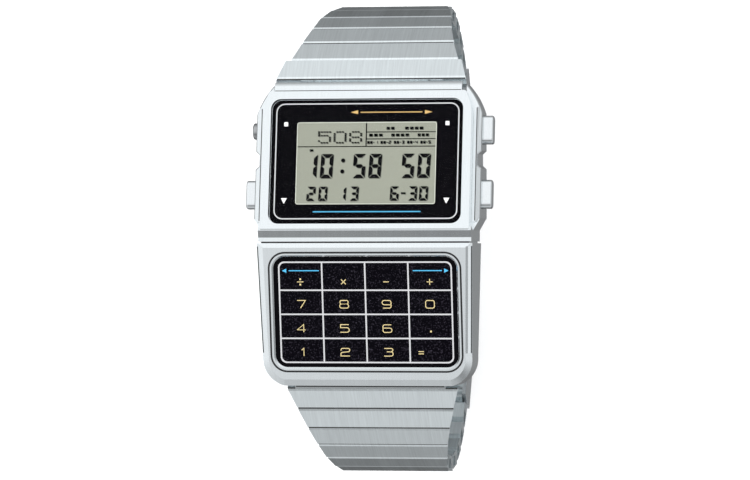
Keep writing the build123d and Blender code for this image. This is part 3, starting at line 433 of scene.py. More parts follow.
# Window
# A clear pane with a polished rim, printed on its back: black round the display, with a thin
# silver ring and small plain marks beside the buttons. The pane and its print stand for the CAD pane.

# Box, corner and thickness of the pane, and the width and least angle of its polished rim
WINDOW, WINDOW_CORNER, WINDOW_THICKNESS = (-14.62, 14.62, 2.13, 21.13), 1.5, 0.93
RIM, RIM_ANGLE = 0.08, radians(50)

# Levels of the black print, the edge of its opening and the marks, and the sizes of edge and ring
PRINT_LAYER, EDGE_LAYER, MARK_LAYER = (-1.0, -0.97), (-1.0, -0.975), (-0.97, -0.95)
OPENING_CORNER, OPENING_EDGE = 0.35, 0.11
RING, RING_CORNER, RING_WIDTH = (-14.02, 13.97, 2.92, 20.64), 1.35, 0.18

# Lower left corners of the square marks, tips of the triangles, and the sizes of both
SQUARES, SQUARE_WIDTH, SQUARE_HEIGHT = ((-12.74, 17.16), (11.88, 17.18)), 0.58, 0.62
TRIANGLES, TRIANGLE_HALF, TRIANGLE_HEIGHT = ((-12.48, 5.3), (12.26, 5.27)), 0.44, 0.85

# Tip and base of each gold arrow head, half its height, and the bars in gold and blue
GOLD_HEADS, GOLD_HEAD_HALF = (((-2.6, 19.24), -1.49), ((9.85, 19.22), 8.71)), 0.3
GOLD_BAR, BLUE_BAR = (-1.1, 8.3, 19.16, 19.3), (-8.0, 8.4, 3.98, 4.14)


def rounded_outline(left, right, bottom, top, radius, steps=8):
    """A rectangle with quarter-circle corners: centre of each corner plus radius times the unit circle."""
    turns = np.linspace(0.0, pi / 2, steps)
    corners = ((right - radius, top - radius, 0.0), (left + radius, top - radius, pi / 2),
               (left + radius, bottom + radius, pi), (right - radius, bottom + radius, 3 * pi / 2))
    arcs = [(x + radius * np.cos(turns + start), y + radius * np.sin(turns + start))
            for x, y, start in corners]
    return np.hstack(arcs).T


def rounded_band(box, radius, width):
    """Outer and inner outline of a rounded band that lies inside a box."""
    left, right, bottom, top = box
    inner = rounded_outline(left + width, right - width, bottom + width, top - width, radius - width)
    return rounded_outline(*box, radius), inner


def ring_piece(name, outer, inner, low, high, place, material):
    """A flat ring between two outlines of as many points, joined by quads above, below and on both walls."""
    count = len(outer)
    points = [place(outer, low), place(inner, low), place(outer, high), place(inner, high)]
    here = np.arange(count)
    after = (here + 1) % count
    faces = []
    for corners in ((after, here, here + count, after + count),
                    (here + 2 * count, after + 2 * count, after + 3 * count, here + 3 * count),
                    (here, after, after + 2 * count, here + 2 * count),
                    (after + count, here + count, here + 3 * count, after + 3 * count)):
        faces += np.stack(corners, 1).tolist()
    return new_piece(name, points, faces, material)


def arrow_head(tip, base, half):
    """A triangle from its tip to an upright base of twice the half."""
    return [tip, (base, tip[1] - half), (base, tip[1] + half)]


def print_and_painted_shade(name, colour):
    """Print, and the painted shade of dark lines: an even colour whose gloss varies with a fine grain."""
    material, shader = new_material(name, colour, roughness=0.45)
    tree = material.node_tree
    tree.links.new(add_grain(tree, 6000.0, detail=1.0, low=0.38, high=0.52), shader.inputs["Roughness"])
    return material


pane_clear, shader = new_material("window_pane", (0.01, 0.012, 0.012), roughness=0.03)
shader.inputs["Alpha"].default_value = 0.03
tree = pane_clear.node_tree
tree.links.new(add_grain(tree, 150.0, detail=3.0, low=0.02, high=0.07), shader.inputs["Roughness"])
pane_outline = rounded_outline(*WINDOW, WINDOW_CORNER)
pane = flat_pieces("window_pane", [pane_outline], -WINDOW_THICKNESS, 0.0, on_display, pane_clear)
bevel = pane.modifiers.new("rim", "BEVEL")
bevel.width = RIM * MM
bevel.segments = 2
bevel.limit_method = "ANGLE"
bevel.angle_limit = RIM_ANGLE
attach(pane, "case")
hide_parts("display_window")

print_black, shader = new_material("window_print", (0.0012, 0.001, 0.0018), roughness=0.35, specular=0.01)
tree = print_black.node_tree
tree.links.new(add_grain(tree, 5000.0, detail=1.0, low=0.3, high=0.42), shader.inputs["Roughness"])
mask = ring_piece("window_print", pane_outline, rounded_outline(*OPENING, OPENING_CORNER), *PRINT_LAYER,
                  on_display, print_black)
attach(mask, "case")

pale_edge = print_and_painted_shade("opening_edge", (0.5, 0.52, 0.45))
edge = ring_piece("opening_edge", *rounded_band(OPENING, OPENING_CORNER, OPENING_EDGE), *EDGE_LAYER,
                  on_display, pale_edge)
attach(edge, "case")

ring_silver = brushed_metal("window_ring", (0.93, 0.94, 0.95), 0.3, across=9000.0, along=900.0)
ring = ring_piece("window_ring", *rounded_band(RING, RING_CORNER, RING_WIDTH), *MARK_LAYER, on_display,
                  ring_silver)
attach(ring, "case")

white_ink = print_and_painted_shade("white_ink", (0.8, 0.8, 0.8))
gold_ink = print_and_painted_shade("gold_ink", (0.52, 0.33, 0.11))
blue_ink = print_and_painted_shade("blue_ink", (0.05, 0.33, 0.56))
side_marks = [box_outline(x, x + SQUARE_WIDTH, y, y + SQUARE_HEIGHT) for x, y in SQUARES]
side_marks += [[(x - TRIANGLE_HALF, y + TRIANGLE_HEIGHT), (x + TRIANGLE_HALF, y + TRIANGLE_HEIGHT), (x, y)]
               for x, y in TRIANGLES]
gold_marks = [arrow_head(tip, base, GOLD_HEAD_HALF) for tip, base in GOLD_HEADS] + [box_outline(*GOLD_BAR)]
for name, outlines, colour in (("window_marks", side_marks, white_ink),
                               ("window_gold_marks", gold_marks, gold_ink),
                               ("window_blue_marks", [box_outline(*BLUE_BAR)], blue_ink)):
    marks = flat_pieces(name, outlines, *MARK_LAYER, on_display, colour)
    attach(marks, "case")

# Keypad plate
# A black moulded plate with sixteen openings. The bars between the openings and the rim round them
# are foiled silver, and the margin outside stays black.

KEYPAD_UP = np.array((0.0, cos(FACE_TILT), sin(FACE_TILT)))
KEYPAD_OUT = np.array((0.0, -sin(FACE_TILT), cos(FACE_TILT)))

# Middle of the foil under the ridge, and its half width, half height and corner
FOIL_MIDDLE, FOIL_HALF_WIDTH, FOIL_HALF_HEIGHT, FOIL_CORNER = 11.4375, 13.22, 7.7375, 0.95
PLATE_BLACK, FOIL_SILVER = (0.0015, 0.0014, 0.002), (0.4, 0.4, 0.41)


def on_keypad(points, rise):
    """Points in millimetres, x across and y up the keypad face towards the ridge, where y is nought:
    origin + x times across + y times up + rise times out."""
    points = np.asarray(points, float)
    return (RIDGE + points[:, :1] * MM * ACROSS + points[:, 1:2] * MM * KEYPAD_UP
            + rise * MM * KEYPAD_OUT)


# The foil covers a rounded rectangle: it is where the part of the place beyond an inner rectangle
# is shorter than the corner's radius.
plate, shader = new_material("keypad_plate", PLATE_BLACK, roughness=0.5, specular=0.03)
tree = plate.node_tree
place = add_node(tree, "ShaderNodeTexCoord")
laid = add_node(tree, "ShaderNodeMapping", vector_type="TEXTURE", Rotation=(FACE_TILT, 0.0, 0.0),
                Location=(RIDGE - FOIL_MIDDLE * MM * KEYPAD_UP).tolist())
tree.links.new(place.outputs["Object"], laid.inputs["Vector"])
inner_corner = ((FOIL_HALF_WIDTH - FOIL_CORNER) * MM, (FOIL_HALF_HEIGHT - FOIL_CORNER) * MM, 1.0)
reached = laid.outputs["Vector"]
for operation, value in (("ABSOLUTE", None), ("SUBTRACT", inner_corner), ("MAXIMUM", (0.0, 0.0, 0.0)),
                         ("LENGTH", None)):
    step = add_node(tree, "ShaderNodeVectorMath", operation=operation)
    tree.links.new(reached, step.inputs[0])
    if value:
        step.inputs[1].default_value = value
    reached = step.outputs["Value" if operation == "LENGTH" else "Vector"]
foil = add_node(tree, "ShaderNodeMath", operation="LESS_THAN")
foil.inputs[1].default_value = FOIL_CORNER * MM
tree.links.new(reached, foil.inputs[0])
foiled = mix_colours(tree, foil.outputs["Value"], PLATE_BLACK, FOIL_SILVER)
tree.links.new(foiled, shader.inputs["Base Color"])
add_bump(tree, shader, add_grain(tree, 3500.0, detail=3.0), strength=0.2, distance=0.02)
dress("key_grid", plate)

# Painted shade lines of the case
# The fine groove round the keypad, the seam under the ridge bar and the steps at both ends of the
# case carry thin dark lines of painted shade, standing for the shade and shadow that fall there.

# Box, corner, width and levels of the groove round the keypad
GROOVE, GROOVE_CORNER, GROOVE_WIDTH, GROOVE_LAYER = (-14.71, 14.71, -20.54, -2.17), 2.6, 0.27, (-0.35, -0.16)

# Name, outline on level ground, and lowest and highest level over the case back of each straight line
STRAIGHT_LINES = (("seam_painted_shade", (-15.8, 15.8, -0.83, -0.62), (8.2, 8.72)),
                  ("edge_painted_shade", (-14.2, 14.2, 22.06, 22.2), (5.4, 5.66)),
                  ("lip_painted_shadow", (-11.35, 11.35, -22.52, -22.32), (3.85, 4.06)))


def on_top(points, height):
    """Points in millimetres over the level ground, at a height over the case back."""
    points = np.asarray(points, float)
    return np.column_stack([points, np.full(len(points), height)]) * MM


# One dark material of painted shade serves the groove line and every straight line below.
painted_line_shade = print_and_painted_shade("painted_line_shade", (0.006, 0.006, 0.007))
groove_line = ring_piece("painted_line_shade", *rounded_band(GROOVE, GROOVE_CORNER, GROOVE_WIDTH), *GROOVE_LAYER,
                         on_keypad, painted_line_shade)
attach(groove_line, "case")
for name, box, layer in STRAIGHT_LINES:
    line = flat_pieces(name, [box_outline(*box)], *layer, on_top, painted_line_shade)
    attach(line, "case")

# Ground edges of the case
# The long edges of the casting are ground in two facets each. Thin plated strips on the ledge of the
# display half and on the bevel of the keypad half carry them, with a fine dark line of painted shade
# along each edge.

# The strips reach a little into the casting, and stand over it or over each other by a skin
SUNK, SKIN, LINE_SKIN = -0.02, 0.004, 0.012

# Half widths of the ledge at the frame's foot, its crease, its edge and the notch of its wall
FRAME_FOOT, LEDGE_CREASE, LEDGE_EDGE, NOTCH_FOOT = 15.93, 16.45, 17.12, 16.58

# Ends of the ledge, its depth under the face, height of its crease and the share left at its edge,
# ends of the notch and the run of its slopes, and the box of the dark line
LEDGE_START, LEDGE_END, LEDGE_DEPTH, LEDGE_FALL, LEAST_SHARE = 2.3, 19.6, 2.35, 0.211, 0.05
NOTCH_START, NOTCH_END, NOTCH_SLOPE = 10.2, 13.1, 0.52
LEDGE_LINE = (16.36, 16.5, 2.5, 19.5)

# Cuts at the corners of the ledge's strips, across and along
FOOT_CUT, START_CUT, END_CUT = (0.07, 0.9), (0.37, 0.7), (0.27, 1.0)

# Half width of the keypad half where it is widest, and its narrowing. Then insets from its edge and
# slopes: the bevel's own, and those of the facets inside and outside the crest
HALF_WIDTH, WIDEST, NARROWING = 16.4, -0.6, 0.026
SIDE_BEVEL, BEVEL_CREST, BEVEL_RIM, LINE_INSET = 0.95, 0.6, 0.01, 0.19
BEVEL_SLOPE, INNER_SLOPE, OUTER_SLOPE = 0.442, tan(radians(20)), 0.48
BEVEL_TOP, BEVEL_END = -1.4, -17.6


def on_ledge(points, height):
    """Points in plan on the display half's ledge, at the ledge's level plus the height. A height over
    nought is shared out, from the least share at the outer edge to all of it at the crease."""
    points = np.asarray(points, float)
    share = 1.0
    if height > 0:
        share = np.clip((LEDGE_EDGE - np.abs(points[:, 0])) / (LEDGE_EDGE - LEDGE_CREASE), LEAST_SHARE, 1.0)
    level = RIDGE_HEIGHT - points[:, 1] * tan(FACE_TILT) - LEDGE_DEPTH / cos(FACE_TILT)
    return np.column_stack([points, level + height * share]) * MM


def keypad_edge(y):
    """Half width of the keypad half, which narrows evenly away from the ridge."""
    return HALF_WIDTH + NARROWING * (y - WIDEST)


def on_side_bevel(points, height):
    """Points on the keypad half's side bevel. A height below nought lays them along the bevel's plane,
    any other along two facets: the inner slope down to the crest, and the outer slope from there."""
    points = np.asarray(points, float)
    inset = keypad_edge(points[:, 1]) - np.abs(points[:, 0])
    if height < 0:
        rise = (inset - SIDE_BEVEL) * BEVEL_SLOPE
    else:
        rise = (np.maximum(inset, BEVEL_CREST) - SIDE_BEVEL) * INNER_SLOPE
        rise += np.minimum(inset - BEVEL_CREST, 0) * OUTER_SLOPE
    return on_keypad(points, (rise + height)[:, None])


def bevel_strip(inner, outer):
    """Outline of a strip down the side bevel between two insets from the keypad half's edge."""
    corners = ((inner, BEVEL_TOP), (outer, BEVEL_TOP), (outer, BEVEL_END), (inner, BEVEL_END))
    return [(keypad_edge(y) - inset, y) for inset, y in corners]


ledge_parts = ([(FRAME_FOOT, LEDGE_START), (LEDGE_CREASE, LEDGE_START), (LEDGE_CREASE, LEDGE_END),
                (FRAME_FOOT - FOOT_CUT[0], LEDGE_END), (FRAME_FOOT, LEDGE_END - FOOT_CUT[1])],
               [(LEDGE_CREASE, LEDGE_START), (LEDGE_EDGE - START_CUT[0], LEDGE_START),
                (LEDGE_EDGE, LEDGE_START + START_CUT[1]), (LEDGE_EDGE, NOTCH_START),
                (NOTCH_FOOT, NOTCH_START + NOTCH_SLOPE), (NOTCH_FOOT, NOTCH_END - NOTCH_SLOPE),
                (LEDGE_EDGE, NOTCH_END), (LEDGE_EDGE, LEDGE_END - END_CUT[1]),
                (LEDGE_EDGE - END_CUT[0], LEDGE_END), (LEDGE_CREASE, LEDGE_END)])
bevel_parts = [bevel_strip(SIDE_BEVEL, BEVEL_CREST), bevel_strip(BEVEL_CREST, BEVEL_RIM)]
edge_shade = print_and_painted_shade("edge_shade", (0.03, 0.033, 0.036))
for name, parts, high, placing, surface in (
        ("ledge_facets", ledge_parts, LEDGE_FALL, on_ledge, plated),
        ("side_facets", bevel_parts, SKIN, on_side_bevel, plated),
        ("ledge_lines", [box_outline(*LEDGE_LINE)], LEDGE_FALL + LINE_SKIN, on_ledge, edge_shade),
        ("side_lines", [bevel_strip(LINE_INSET, BEVEL_RIM)], SKIN + LINE_SKIN, on_side_bevel, edge_shade)):
    both_sides = [np.array(part) * (side, 1) for part in parts for side in (1, -1)]
    facets = flat_pieces(name, both_sides, SUNK, high, placing, surface)
    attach(facets, "case")

# Keys
# Sixteen black keys with a fine moulded grain. Each carries its digit or sign in gold print, and
# the first and last of the upper row carry a blue arrow.

# Levels of the print under the keypad face, and the two colours of the moulded grain
SIGN_LAYER = (-0.37, -0.362)
KEY_BLACK, KEY_SPECK = (0.001, 0.0008, 0.0018), (0.034, 0.03, 0.042)

# Key, sign and the sign's middle on the keypad face
KEY_SIGNS = (("key_divide", "/", -9.88, -6.8), ("key_times", "x", -3.3, -6.8), ("key_minus", "-", 3.19, -6.8),
             ("key_plus", "+", 9.8, -6.8),
             ("key_7", "7", -9.83, -10.2), ("key_8", "8", -3.29, -10.2), ("key_9", "9", 3.18, -10.2),
             ("key_0", "0", 9.77, -10.2),
             ("key_4", "4", -9.92, -13.86), ("key_5", "5", -3.3, -13.88), ("key_6", "6", 3.21, -13.9),
             ("key_point", ".", 9.81, -14.33),
             ("key_1", "1", -9.78, -17.5), ("key_2", "2", -3.31, -17.5), ("key_3", "3", 3.27, -17.5),
             ("key_equals", "=", 8.24, -17.56))

# Half height of an arrow's head. Name, key, tip and base of the head, and the bar of each arrow
ARROW_HEAD_HALF = 0.32
ARROWS = (("blue_arrow_left", "key_divide", (-12.64, -5.1), -11.97, (-11.6, -7.0, -5.17, -5.03)),
          ("blue_arrow_right", "key_plus", (12.7, -5.1), 12.05, (7.3, 11.7, -5.17, -5.03)))

key_black, shader = new_material("key_plastic", KEY_BLACK, roughness=0.55, specular=0.03)
tree = key_black.node_tree
place = add_node(tree, "ShaderNodeTexCoord")
pits = add_node(tree, "ShaderNodeTexVoronoi", Scale=5200.0)
speck = add_node(tree, "ShaderNodeMapRange")
speck.inputs["From Min"].default_value = 0.55
speck.inputs["From Max"].default_value = 0.8
tree.links.new(place.outputs["Object"], pits.inputs["Vector"])
tree.links.new(add_grain(tree, 4200.0), speck.inputs["Value"])
tree.links.new(mix_colours(tree, speck.outputs["Result"], KEY_BLACK, KEY_SPECK), shader.inputs["Base Color"])
add_bump(tree, shader, pits.outputs["Distance"], strength=0.5, distance=0.04)
key_gold = print_and_painted_shade("key_gold", (0.52, 0.42, 0.2))


def arc(x, y, radius_x, radius_y, first, last, steps=7):
    """Points of a quarter or half ellipse between two angles in degrees."""
    turn = np.radians(np.linspace(first, last, steps))
    return [(x + radius_x * a, y + radius_y * b) for a, b in zip(np.cos(turn), np.sin(turn))]


def bowl(half, low, high, radius):
    """Closed line of a wide rounded loop: four quarter circles at the corners of a box."""
    x, bottom, top = half - radius, low + radius, high - radius
    corners = ((x, top, 0), (-x, top, 90), (-x, bottom, 180), (x, bottom, 270))
    return sum([arc(a, b, radius, radius, first, first + 90) for a, b, first in corners], []) + [(half, top)]


# Centre lines of the signs in millimetres from the sign's middle, wide, thin and squared at the
# corners: half width, half height and corner of a digit, and the thickness of a stroke and a dot.
WIDE, HIGH, BEND = 0.68, 0.58, 0.26
STROKE, DOT = 0.12, 0.26

# Guards at sharp corners: shortest step, shortest sum of two directions, least cosine of half a turn
SHORT_STEP, SHORT_SUM, LEAST_COSINE = 1e-4, 0.3, 0.55

STROKES = {
    "0": [bowl(WIDE - 0.02, -HIGH, HIGH, 0.3)],
    "1": [[(-0.2, 0.3), (0.14, HIGH), (0.14, -HIGH)]],
    "2": [arc(-WIDE + BEND + 0.02, HIGH - BEND, BEND, BEND, 200, 90, 6)
          + arc(WIDE - BEND, HIGH - BEND, BEND, BEND, 90, -90)
          + arc(-WIDE + BEND, -BEND - 0.02, BEND, BEND, 90, 180) + [(-WIDE, -HIGH), (WIDE, -HIGH)]],
    "3": [[(-WIDE + 0.06, HIGH)] + arc(WIDE - BEND, HIGH - BEND + 0.02, BEND, BEND - 0.02, 90, -90)
          + [(-0.25, 0.06)],
          [(0.2, 0.06)] + arc(WIDE - 0.3, -0.26, 0.32, 0.32, 90, -90) + [(-WIDE, -HIGH)]],
    "4": [[(0.36, -HIGH), (0.36, HIGH), (-WIDE + 0.04, -0.24), (WIDE - 0.06, -0.24)]],
    "5": [[(WIDE - 0.06, HIGH), (-WIDE + 0.06, HIGH), (-WIDE + 0.04, 0.12)]
          + arc(WIDE - 0.34, -0.23, 0.35, 0.35, 90, -90) + [(-WIDE, -HIGH)]],
    "6": [[(WIDE - 0.1, HIGH)] + arc(-WIDE + 0.3, HIGH - 0.3, 0.3, 0.3, 90, 180)
          + arc(-WIDE + 0.3, -HIGH + 0.3, 0.3, 0.3, 180, 270)
          + arc(WIDE - 0.33, -HIGH + 0.33, 0.33, 0.33, 270, 450) + [(-WIDE, -HIGH + 0.66)]],
    "7": [[(-WIDE + 0.06, HIGH), (WIDE - 0.04, HIGH), (-0.12, -HIGH)]],
    "8": [bowl(WIDE - 0.06, 0.04, HIGH, 0.24), bowl(WIDE, -HIGH, 0.04, 0.3)],
    "9": [[(-WIDE + 0.1, -HIGH)] + arc(WIDE - 0.3, -HIGH + 0.3, 0.3, 0.3, 270, 360)
          + arc(WIDE - 0.3, HIGH - 0.3, 0.3, 0.3, 0, 90)
          + arc(-WIDE + 0.33, HIGH - 0.33, 0.33, 0.33, 90, 270) + [(WIDE, HIGH - 0.66)]],
    "+": [[(-0.45, 0), (0.45, 0)], [(0, -0.45), (0, 0.45)]],
    "-": [[(-0.42, 0), (0.42, 0)]],
    "x": [[(-0.36, -0.36), (0.36, 0.36)], [(-0.36, 0.36), (0.36, -0.36)]],
    "/": [[(-0.48, 0), (0.48, 0)], [(-DOT / 2, 0.4), (DOT / 2, 0.4)], [(-DOT / 2, -0.4), (DOT / 2, -0.4)]],
    "=": [[(-0.4, 0.17), (0.4, 0.17)], [(-0.4, -0.17), (0.4, -0.17)]],
    ".": [[(-DOT / 2, 0), (DOT / 2, 0)]],
}


def stroke_strip(line, width):
    """Closed outline of a stroke: each point of the centre line moved to both sides by half the width
    along the mean of its neighbours' normals, longer at a corner by one over the cosine of half its turn."""
    line = np.asarray(line, float)
    line = line[np.r_[True, np.hypot(*np.diff(line, axis=0).T) > SHORT_STEP]]
    ahead = np.diff(line, axis=0)
    ahead /= np.hypot(*ahead.T)[:, None]
    closed = np.allclose(line[0], line[-1])
    before = np.vstack([ahead[-1:] if closed else ahead[:1], ahead])
    after = np.vstack([ahead, ahead[:1] if closed else ahead[-1:]])
    side = before + after
    side /= np.maximum(np.hypot(*side.T), SHORT_SUM)[:, None]
    longer = 1 / np.clip(np.sum(side * before, 1), LEAST_COSINE, 1.0)
    normal = np.stack([-side[:, 1], side[:, 0]], 1) * (longer * width / 2)[:, None]
    return line + normal, line - normal, closed


def key_sign(name, sign, x, y):
    """A sign printed on a key: every stroke a strip of quads on the key's top, in one mesh."""
    points, faces, first = [], [], 0
    for line in STROKES[sign]:
        left, right, closed = stroke_strip(line, DOT if abs(line[0][0]) == DOT / 2 else STROKE)
        count = len(left)
        for rise in SIGN_LAYER:
            points += [on_keypad(left + (x, y), rise), on_keypad(right + (x, y), rise)]
        here = np.arange(count - 1)
        a, b, c, d = (here + n * count for n in range(4))
        for strip in ((a, a + 1, b + 1, b), (d, d + 1, c + 1, c), (c, c + 1, a + 1, a), (b, b + 1, d + 1, d)):
            faces += (np.stack(strip, 1) + first).tolist()
        if not closed:
            last = first + count - 1
            faces += [[first, first + count, first + 3 * count, first + 2 * count],
                      [last, last + 2 * count, last + 3 * count, last + count]]
        first += 4 * count
    piece = new_piece(name, points, faces, key_gold)
    form = bmesh.new()
    form.from_mesh(piece.data)
    bmesh.ops.recalc_face_normals(form, faces=form.faces)
    form.to_mesh(piece.data)
    form.free()
    return piece


for body, sign, x, y in KEY_SIGNS:
    dress(body, key_black)
    piece = key_sign(body.replace("key_", "sign_"), sign, x, y)
    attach(piece, body)
for name, body, tip, base, bar in ARROWS:
    outlines = [arrow_head(tip, base, ARROW_HEAD_HALF), box_outline(*bar)]
    arrow = flat_pieces(name, outlines, *SIGN_LAYER, on_keypad, blue_ink)
    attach(arrow, body)

# Side buttons
# Three long caps of polished steel and a small round one of darker, duller steel, each on a stem
# that passes through the shell.

button_steel = brushed_metal("button_steel", (0.82, 0.85, 0.87), 0.14, across=9000.0, along=900.0, bump=0.04,
                             spread=0.05, darkest=0.96)
for name in ("light_button", "clear_button", "mode_button"):
    dress(name, button_steel)
dress("adjust_button", brushed_metal("adjust_steel", (0.45, 0.46, 0.47), 0.24, across=9000.0, along=900.0))

# Bracelet
# Each link is folded from steel sheet and brushed along the bracelet before it is folded. Its
# tongue turns on the pin between the ears of the link before it.

LINKS = 11
link_steel = brushed_metal("link_steel", (0.92, 0.98, 1.0), 0.28, across=3600.0, along=120.0, bump=0.45,
                           darkest=0.87)
bar_steel = brushed_metal("bar_steel", (0.6, 0.6, 0.61), 0.25)
dress("lug_bars", bar_steel)
for n in range(1, LINKS + 1):
    dress(f"upper_link_{n}", link_steel)
    dress(f"lower_link_{n}", link_steel)
dress("band_tail", link_steel)

# Gaps of the bracelet
# Painted shade darkens the near edge of every link but the last, standing for the shade in the gap,
# so that a thin line shows between links. Each line is a shallow strip low on that edge's bevel,
# placed from the pins at both ends of its link.

# Start, foot and slope of the bevel seen from the pin, and run, levels and inset of the painted shade
FOLD_START, FOLD_FOOT, FOLD_SLOPE = 0.9, 0.98, 0.44
GAP_SHADE_RUN, GAP_SHADE_LAYER, GAP_SHADE_INSET = 0.2, (-0.03, 0.008), 0.1
painted_gap_shade = print_and_painted_shade("painted_gap_shade", (0.02, 0.02, 0.021))
pins = {joint["name"]: np.array(joint["pos_m"][1:]) / MM
        for joint in frame["record"]["behaviour"]["joints"] if joint["type"] == "hinge"}


def on_fold(near, ahead, outward):
    """Returns a placing function for points given across the watch and along the bevel of a link's fold,
    with a rise over it: pin + (start + y) times ahead + (foot + slope times y + rise) times outward."""
    def place(points, rise):
        points = np.asarray(points, float)
        step = points[:, 1:2]
        return np.column_stack([points[:, 0], near + (FOLD_START + step) * ahead
                                + (FOLD_FOOT + FOLD_SLOPE * step + rise) * outward]) * MM
    return place


for row, side in (("lower", -1), ("upper", 1)):
    for n in range(1, LINKS):
        near, far = pins[f"{row}_hinge_{n}"], pins[f"{row}_hinge_{n + 1}"]
        ahead = (far - near) / np.hypot(*(far - near))
        outward = side * np.array((-ahead[1], ahead[0]))
        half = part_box(f"{row}_link_{n}")[1][0] / MM - GAP_SHADE_INSET
        strip = flat_pieces(f"{row}_gap_{n}", [box_outline(-half, half, 0.0, GAP_SHADE_RUN)], *GAP_SHADE_LAYER,
                            on_fold(near, ahead, outward), painted_gap_shade)
        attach(strip, f"{row}_link_{n}")

# Clasp
# A cover folded from thicker sheet, brushed along the bracelet, with a blade and a lock that fold
# into it from inside.

clasp_steel = brushed_metal("clasp_steel", (0.82, 0.85, 0.87), 0.27, across=8000.0, along=200.0, bump=0.2)
blade_steel = brushed_metal("blade_steel", (0.64, 0.645, 0.655), 0.24, across=8000.0, along=260.0, bump=0.12)
dress("clasp_cover", clasp_steel)
dress("clasp_blade", blade_steel)
dress("clasp_lock", blade_steel)

# Stage, light and camera
# The watch stands on its clasp on a pale floor, under broad soft light from above, and the camera
# looks down on the dial as in the photograph. The metal mirrors the world alone.

# Half width of the floor in metres, and the tint of the world's light
FLOOR_REACH = 3.0
COOL_TINT = (0.985, 1.0, 1.01)

# Brightness of the world at angles from straight up, about the watch's axis across and its axis along
ALONG_STOPS = ((-180, 0.35), (-165, 0.12), (-154, 0.06), (-135, 0.16), (-118, 0.33), (-98, 0.59),
               (-85, 0.68), (-64, 0.62), (-56, 0.3), (-40, 0.19), (-29, 0.36), (-24, 0.64), (-18, 0.68),
               (-8, 0.8), (4, 1.1), (62, 1.1), (72, 0.85), (84, 0.7), (97, 0.52), (109, 0.45),
               (125, 0.23), (140, 0.11), (160, 0.08), (180, 0.35))
SIDEWAYS_STOPS = ((-180, 0.3), (-140, 0.15), (-112, 0.25), (-94, 0.3), (-80, 1.0), (-20, 1.05),
                  (0, 0.95), (14, 0.95), (21, 0.85), (27, 0.25), (33, 0.12), (38, 0.85), (42, 1.05),
                  (50, 1.05), (61, 0.9), (70, 0.6), (78, 0.28), (92, 0.3), (120, 0.35), (150, 0.28),
                  (180, 0.27))

# Angles of the camera, its distance and target in millimetres, and its focal length in photograph pixels
YAW, PITCH, ROLL = 0.1738, -0.0067, -0.0009
DISTANCE, TARGET = 686.7, (1.7705, -0.4004, RIDGE_HEIGHT)
FOCAL_PX, PHOTO_WIDTH_PX, SENSOR = 4595.5, 750, 36.0

floor_paint, shader = new_material("floor_paint", (0.92, 0.92, 0.92), roughness=0.9, specular=0.1)
floor_level = cad_box[0][2]
floor_outline = box_outline(-FLOOR_REACH, FLOOR_REACH, -FLOOR_REACH, FLOOR_REACH)
floor_corners = [(x, y, floor_level) for x, y in floor_outline]
floor = new_piece("floor", [floor_corners], [(0, 1, 2, 3)], floor_paint)
floor.visible_glossy = False


def angle_ramp(tree, numerator, denominator, stops):
    """Brightness by the angle of a direction about one axis, in degrees from straight up:
    the arc tangent of the two parts, laid on a ramp from -180 to 180."""
    turn = add_node(tree, "ShaderNodeMath", operation="ARCTAN2")
    tree.links.new(numerator, turn.inputs[0])
    tree.links.new(denominator, turn.inputs[1])
    share = add_node(tree, "ShaderNodeMapRange")
    share.inputs["From Min"].default_value = -pi
    share.inputs["From Max"].default_value = pi
    tree.links.new(turn.outputs["Value"], share.inputs["Value"])
    ramp = add_node(tree, "ShaderNodeValToRGB")
    while len(ramp.color_ramp.elements) < len(stops):
        ramp.color_ramp.elements.new(0.5)
    for stop, (angle, value) in zip(ramp.color_ramp.elements, stops):
        stop.position = (angle + 180) / 360
        stop.color = (*(value * tint for tint in COOL_TINT), 1)
    tree.links.new(share.outputs["Result"], ramp.inputs["Fac"])
    return ramp.outputs["Color"]


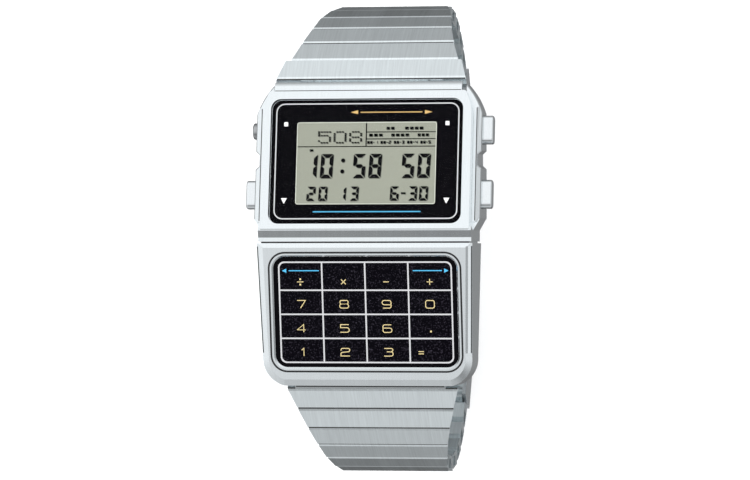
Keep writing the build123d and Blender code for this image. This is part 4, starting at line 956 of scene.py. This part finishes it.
# The two ramps are mixed by the share of x squared in x squared plus y squared of the direction
world = bpy.data.worlds.new("studio")
bpy.context.scene.world = world
world.use_nodes = True
tree = world.node_tree
background = tree.nodes["Background"]
place = add_node(tree, "ShaderNodeTexCoord")
parts = add_node(tree, "ShaderNodeSeparateXYZ")
tree.links.new(place.outputs["Generated"], parts.inputs["Vector"])
along = angle_ramp(tree, parts.outputs["Y"], parts.outputs["Z"], ALONG_STOPS)
sideways = angle_ramp(tree, parts.outputs["X"], parts.outputs["Z"], SIDEWAYS_STOPS)
squares = add_node(tree, "ShaderNodeVectorMath", operation="MULTIPLY")
tree.links.new(place.outputs["Generated"], squares.inputs[0])
tree.links.new(place.outputs["Generated"], squares.inputs[1])
squared = add_node(tree, "ShaderNodeSeparateXYZ")
tree.links.new(squares.outputs["Vector"], squared.inputs["Vector"])
both = add_node(tree, "ShaderNodeMath", operation="ADD")
tree.links.new(squared.outputs["X"], both.inputs[0])
tree.links.new(squared.outputs["Y"], both.inputs[1])
share = add_node(tree, "ShaderNodeMath", operation="DIVIDE")
tree.links.new(squared.outputs["X"], share.inputs[0])
tree.links.new(both.outputs["Value"], share.inputs[1])
blend = add_node(tree, "ShaderNodeMix", data_type="RGBA")
tree.links.new(share.outputs["Value"], blend.inputs["Factor"])
tree.links.new(along, blend.inputs["A"])
tree.links.new(sideways, blend.inputs["B"])
tree.links.new(blend.outputs["Result"], background.inputs["Color"])


def soft_light(name, place, target, size, power):
    """A square area light at a place, turned to face a target. It lights, but isn't seen in the metal."""
    data = bpy.data.lights.new(name, "AREA")
    data.shape = "SQUARE"
    data.size = size
    data.energy = power
    lamp = bpy.data.objects.new(name, data)
    lamp.location = place
    lamp.rotation_euler = (Vector(place) - Vector(target)).to_track_quat("Z", "Y").to_euler()
    lamp.visible_glossy = False
    bpy.context.scene.collection.objects.link(lamp)


soft_light("key_light", place=(-0.1, 0.2, 0.8), target=(0, 0, 0), size=0.9, power=6.5)
soft_light("fill_light", place=(0.45, -0.2, 0.6), target=(0.05, 0, 0), size=0.8, power=5.0)
bpy.context.scene.view_settings.view_transform = "Standard"

back = Vector((sin(YAW) * cos(PITCH), sin(PITCH), cos(YAW) * cos(PITCH)))
right = Vector((cos(YAW), 0.0, -sin(YAW)))
up = back.cross(right)
turned_right = right * cos(ROLL) + up * sin(ROLL)
turned_up = up * cos(ROLL) - right * sin(ROLL)
eye = (Vector(TARGET) + back * DISTANCE) * MM
camera_data = bpy.data.cameras.new("camera")
camera_data.sensor_width = SENSOR
camera_data.lens = FOCAL_PX / PHOTO_WIDTH_PX * SENSOR
camera_data.clip_start = 0.05
camera = bpy.data.objects.new("camera", camera_data)
camera.matrix_world = Matrix.Translation(eye) @ Matrix((turned_right, turned_up, back)).transposed().to_4x4()
bpy.context.scene.collection.objects.link(camera)
bpy.context.scene.camera = camera
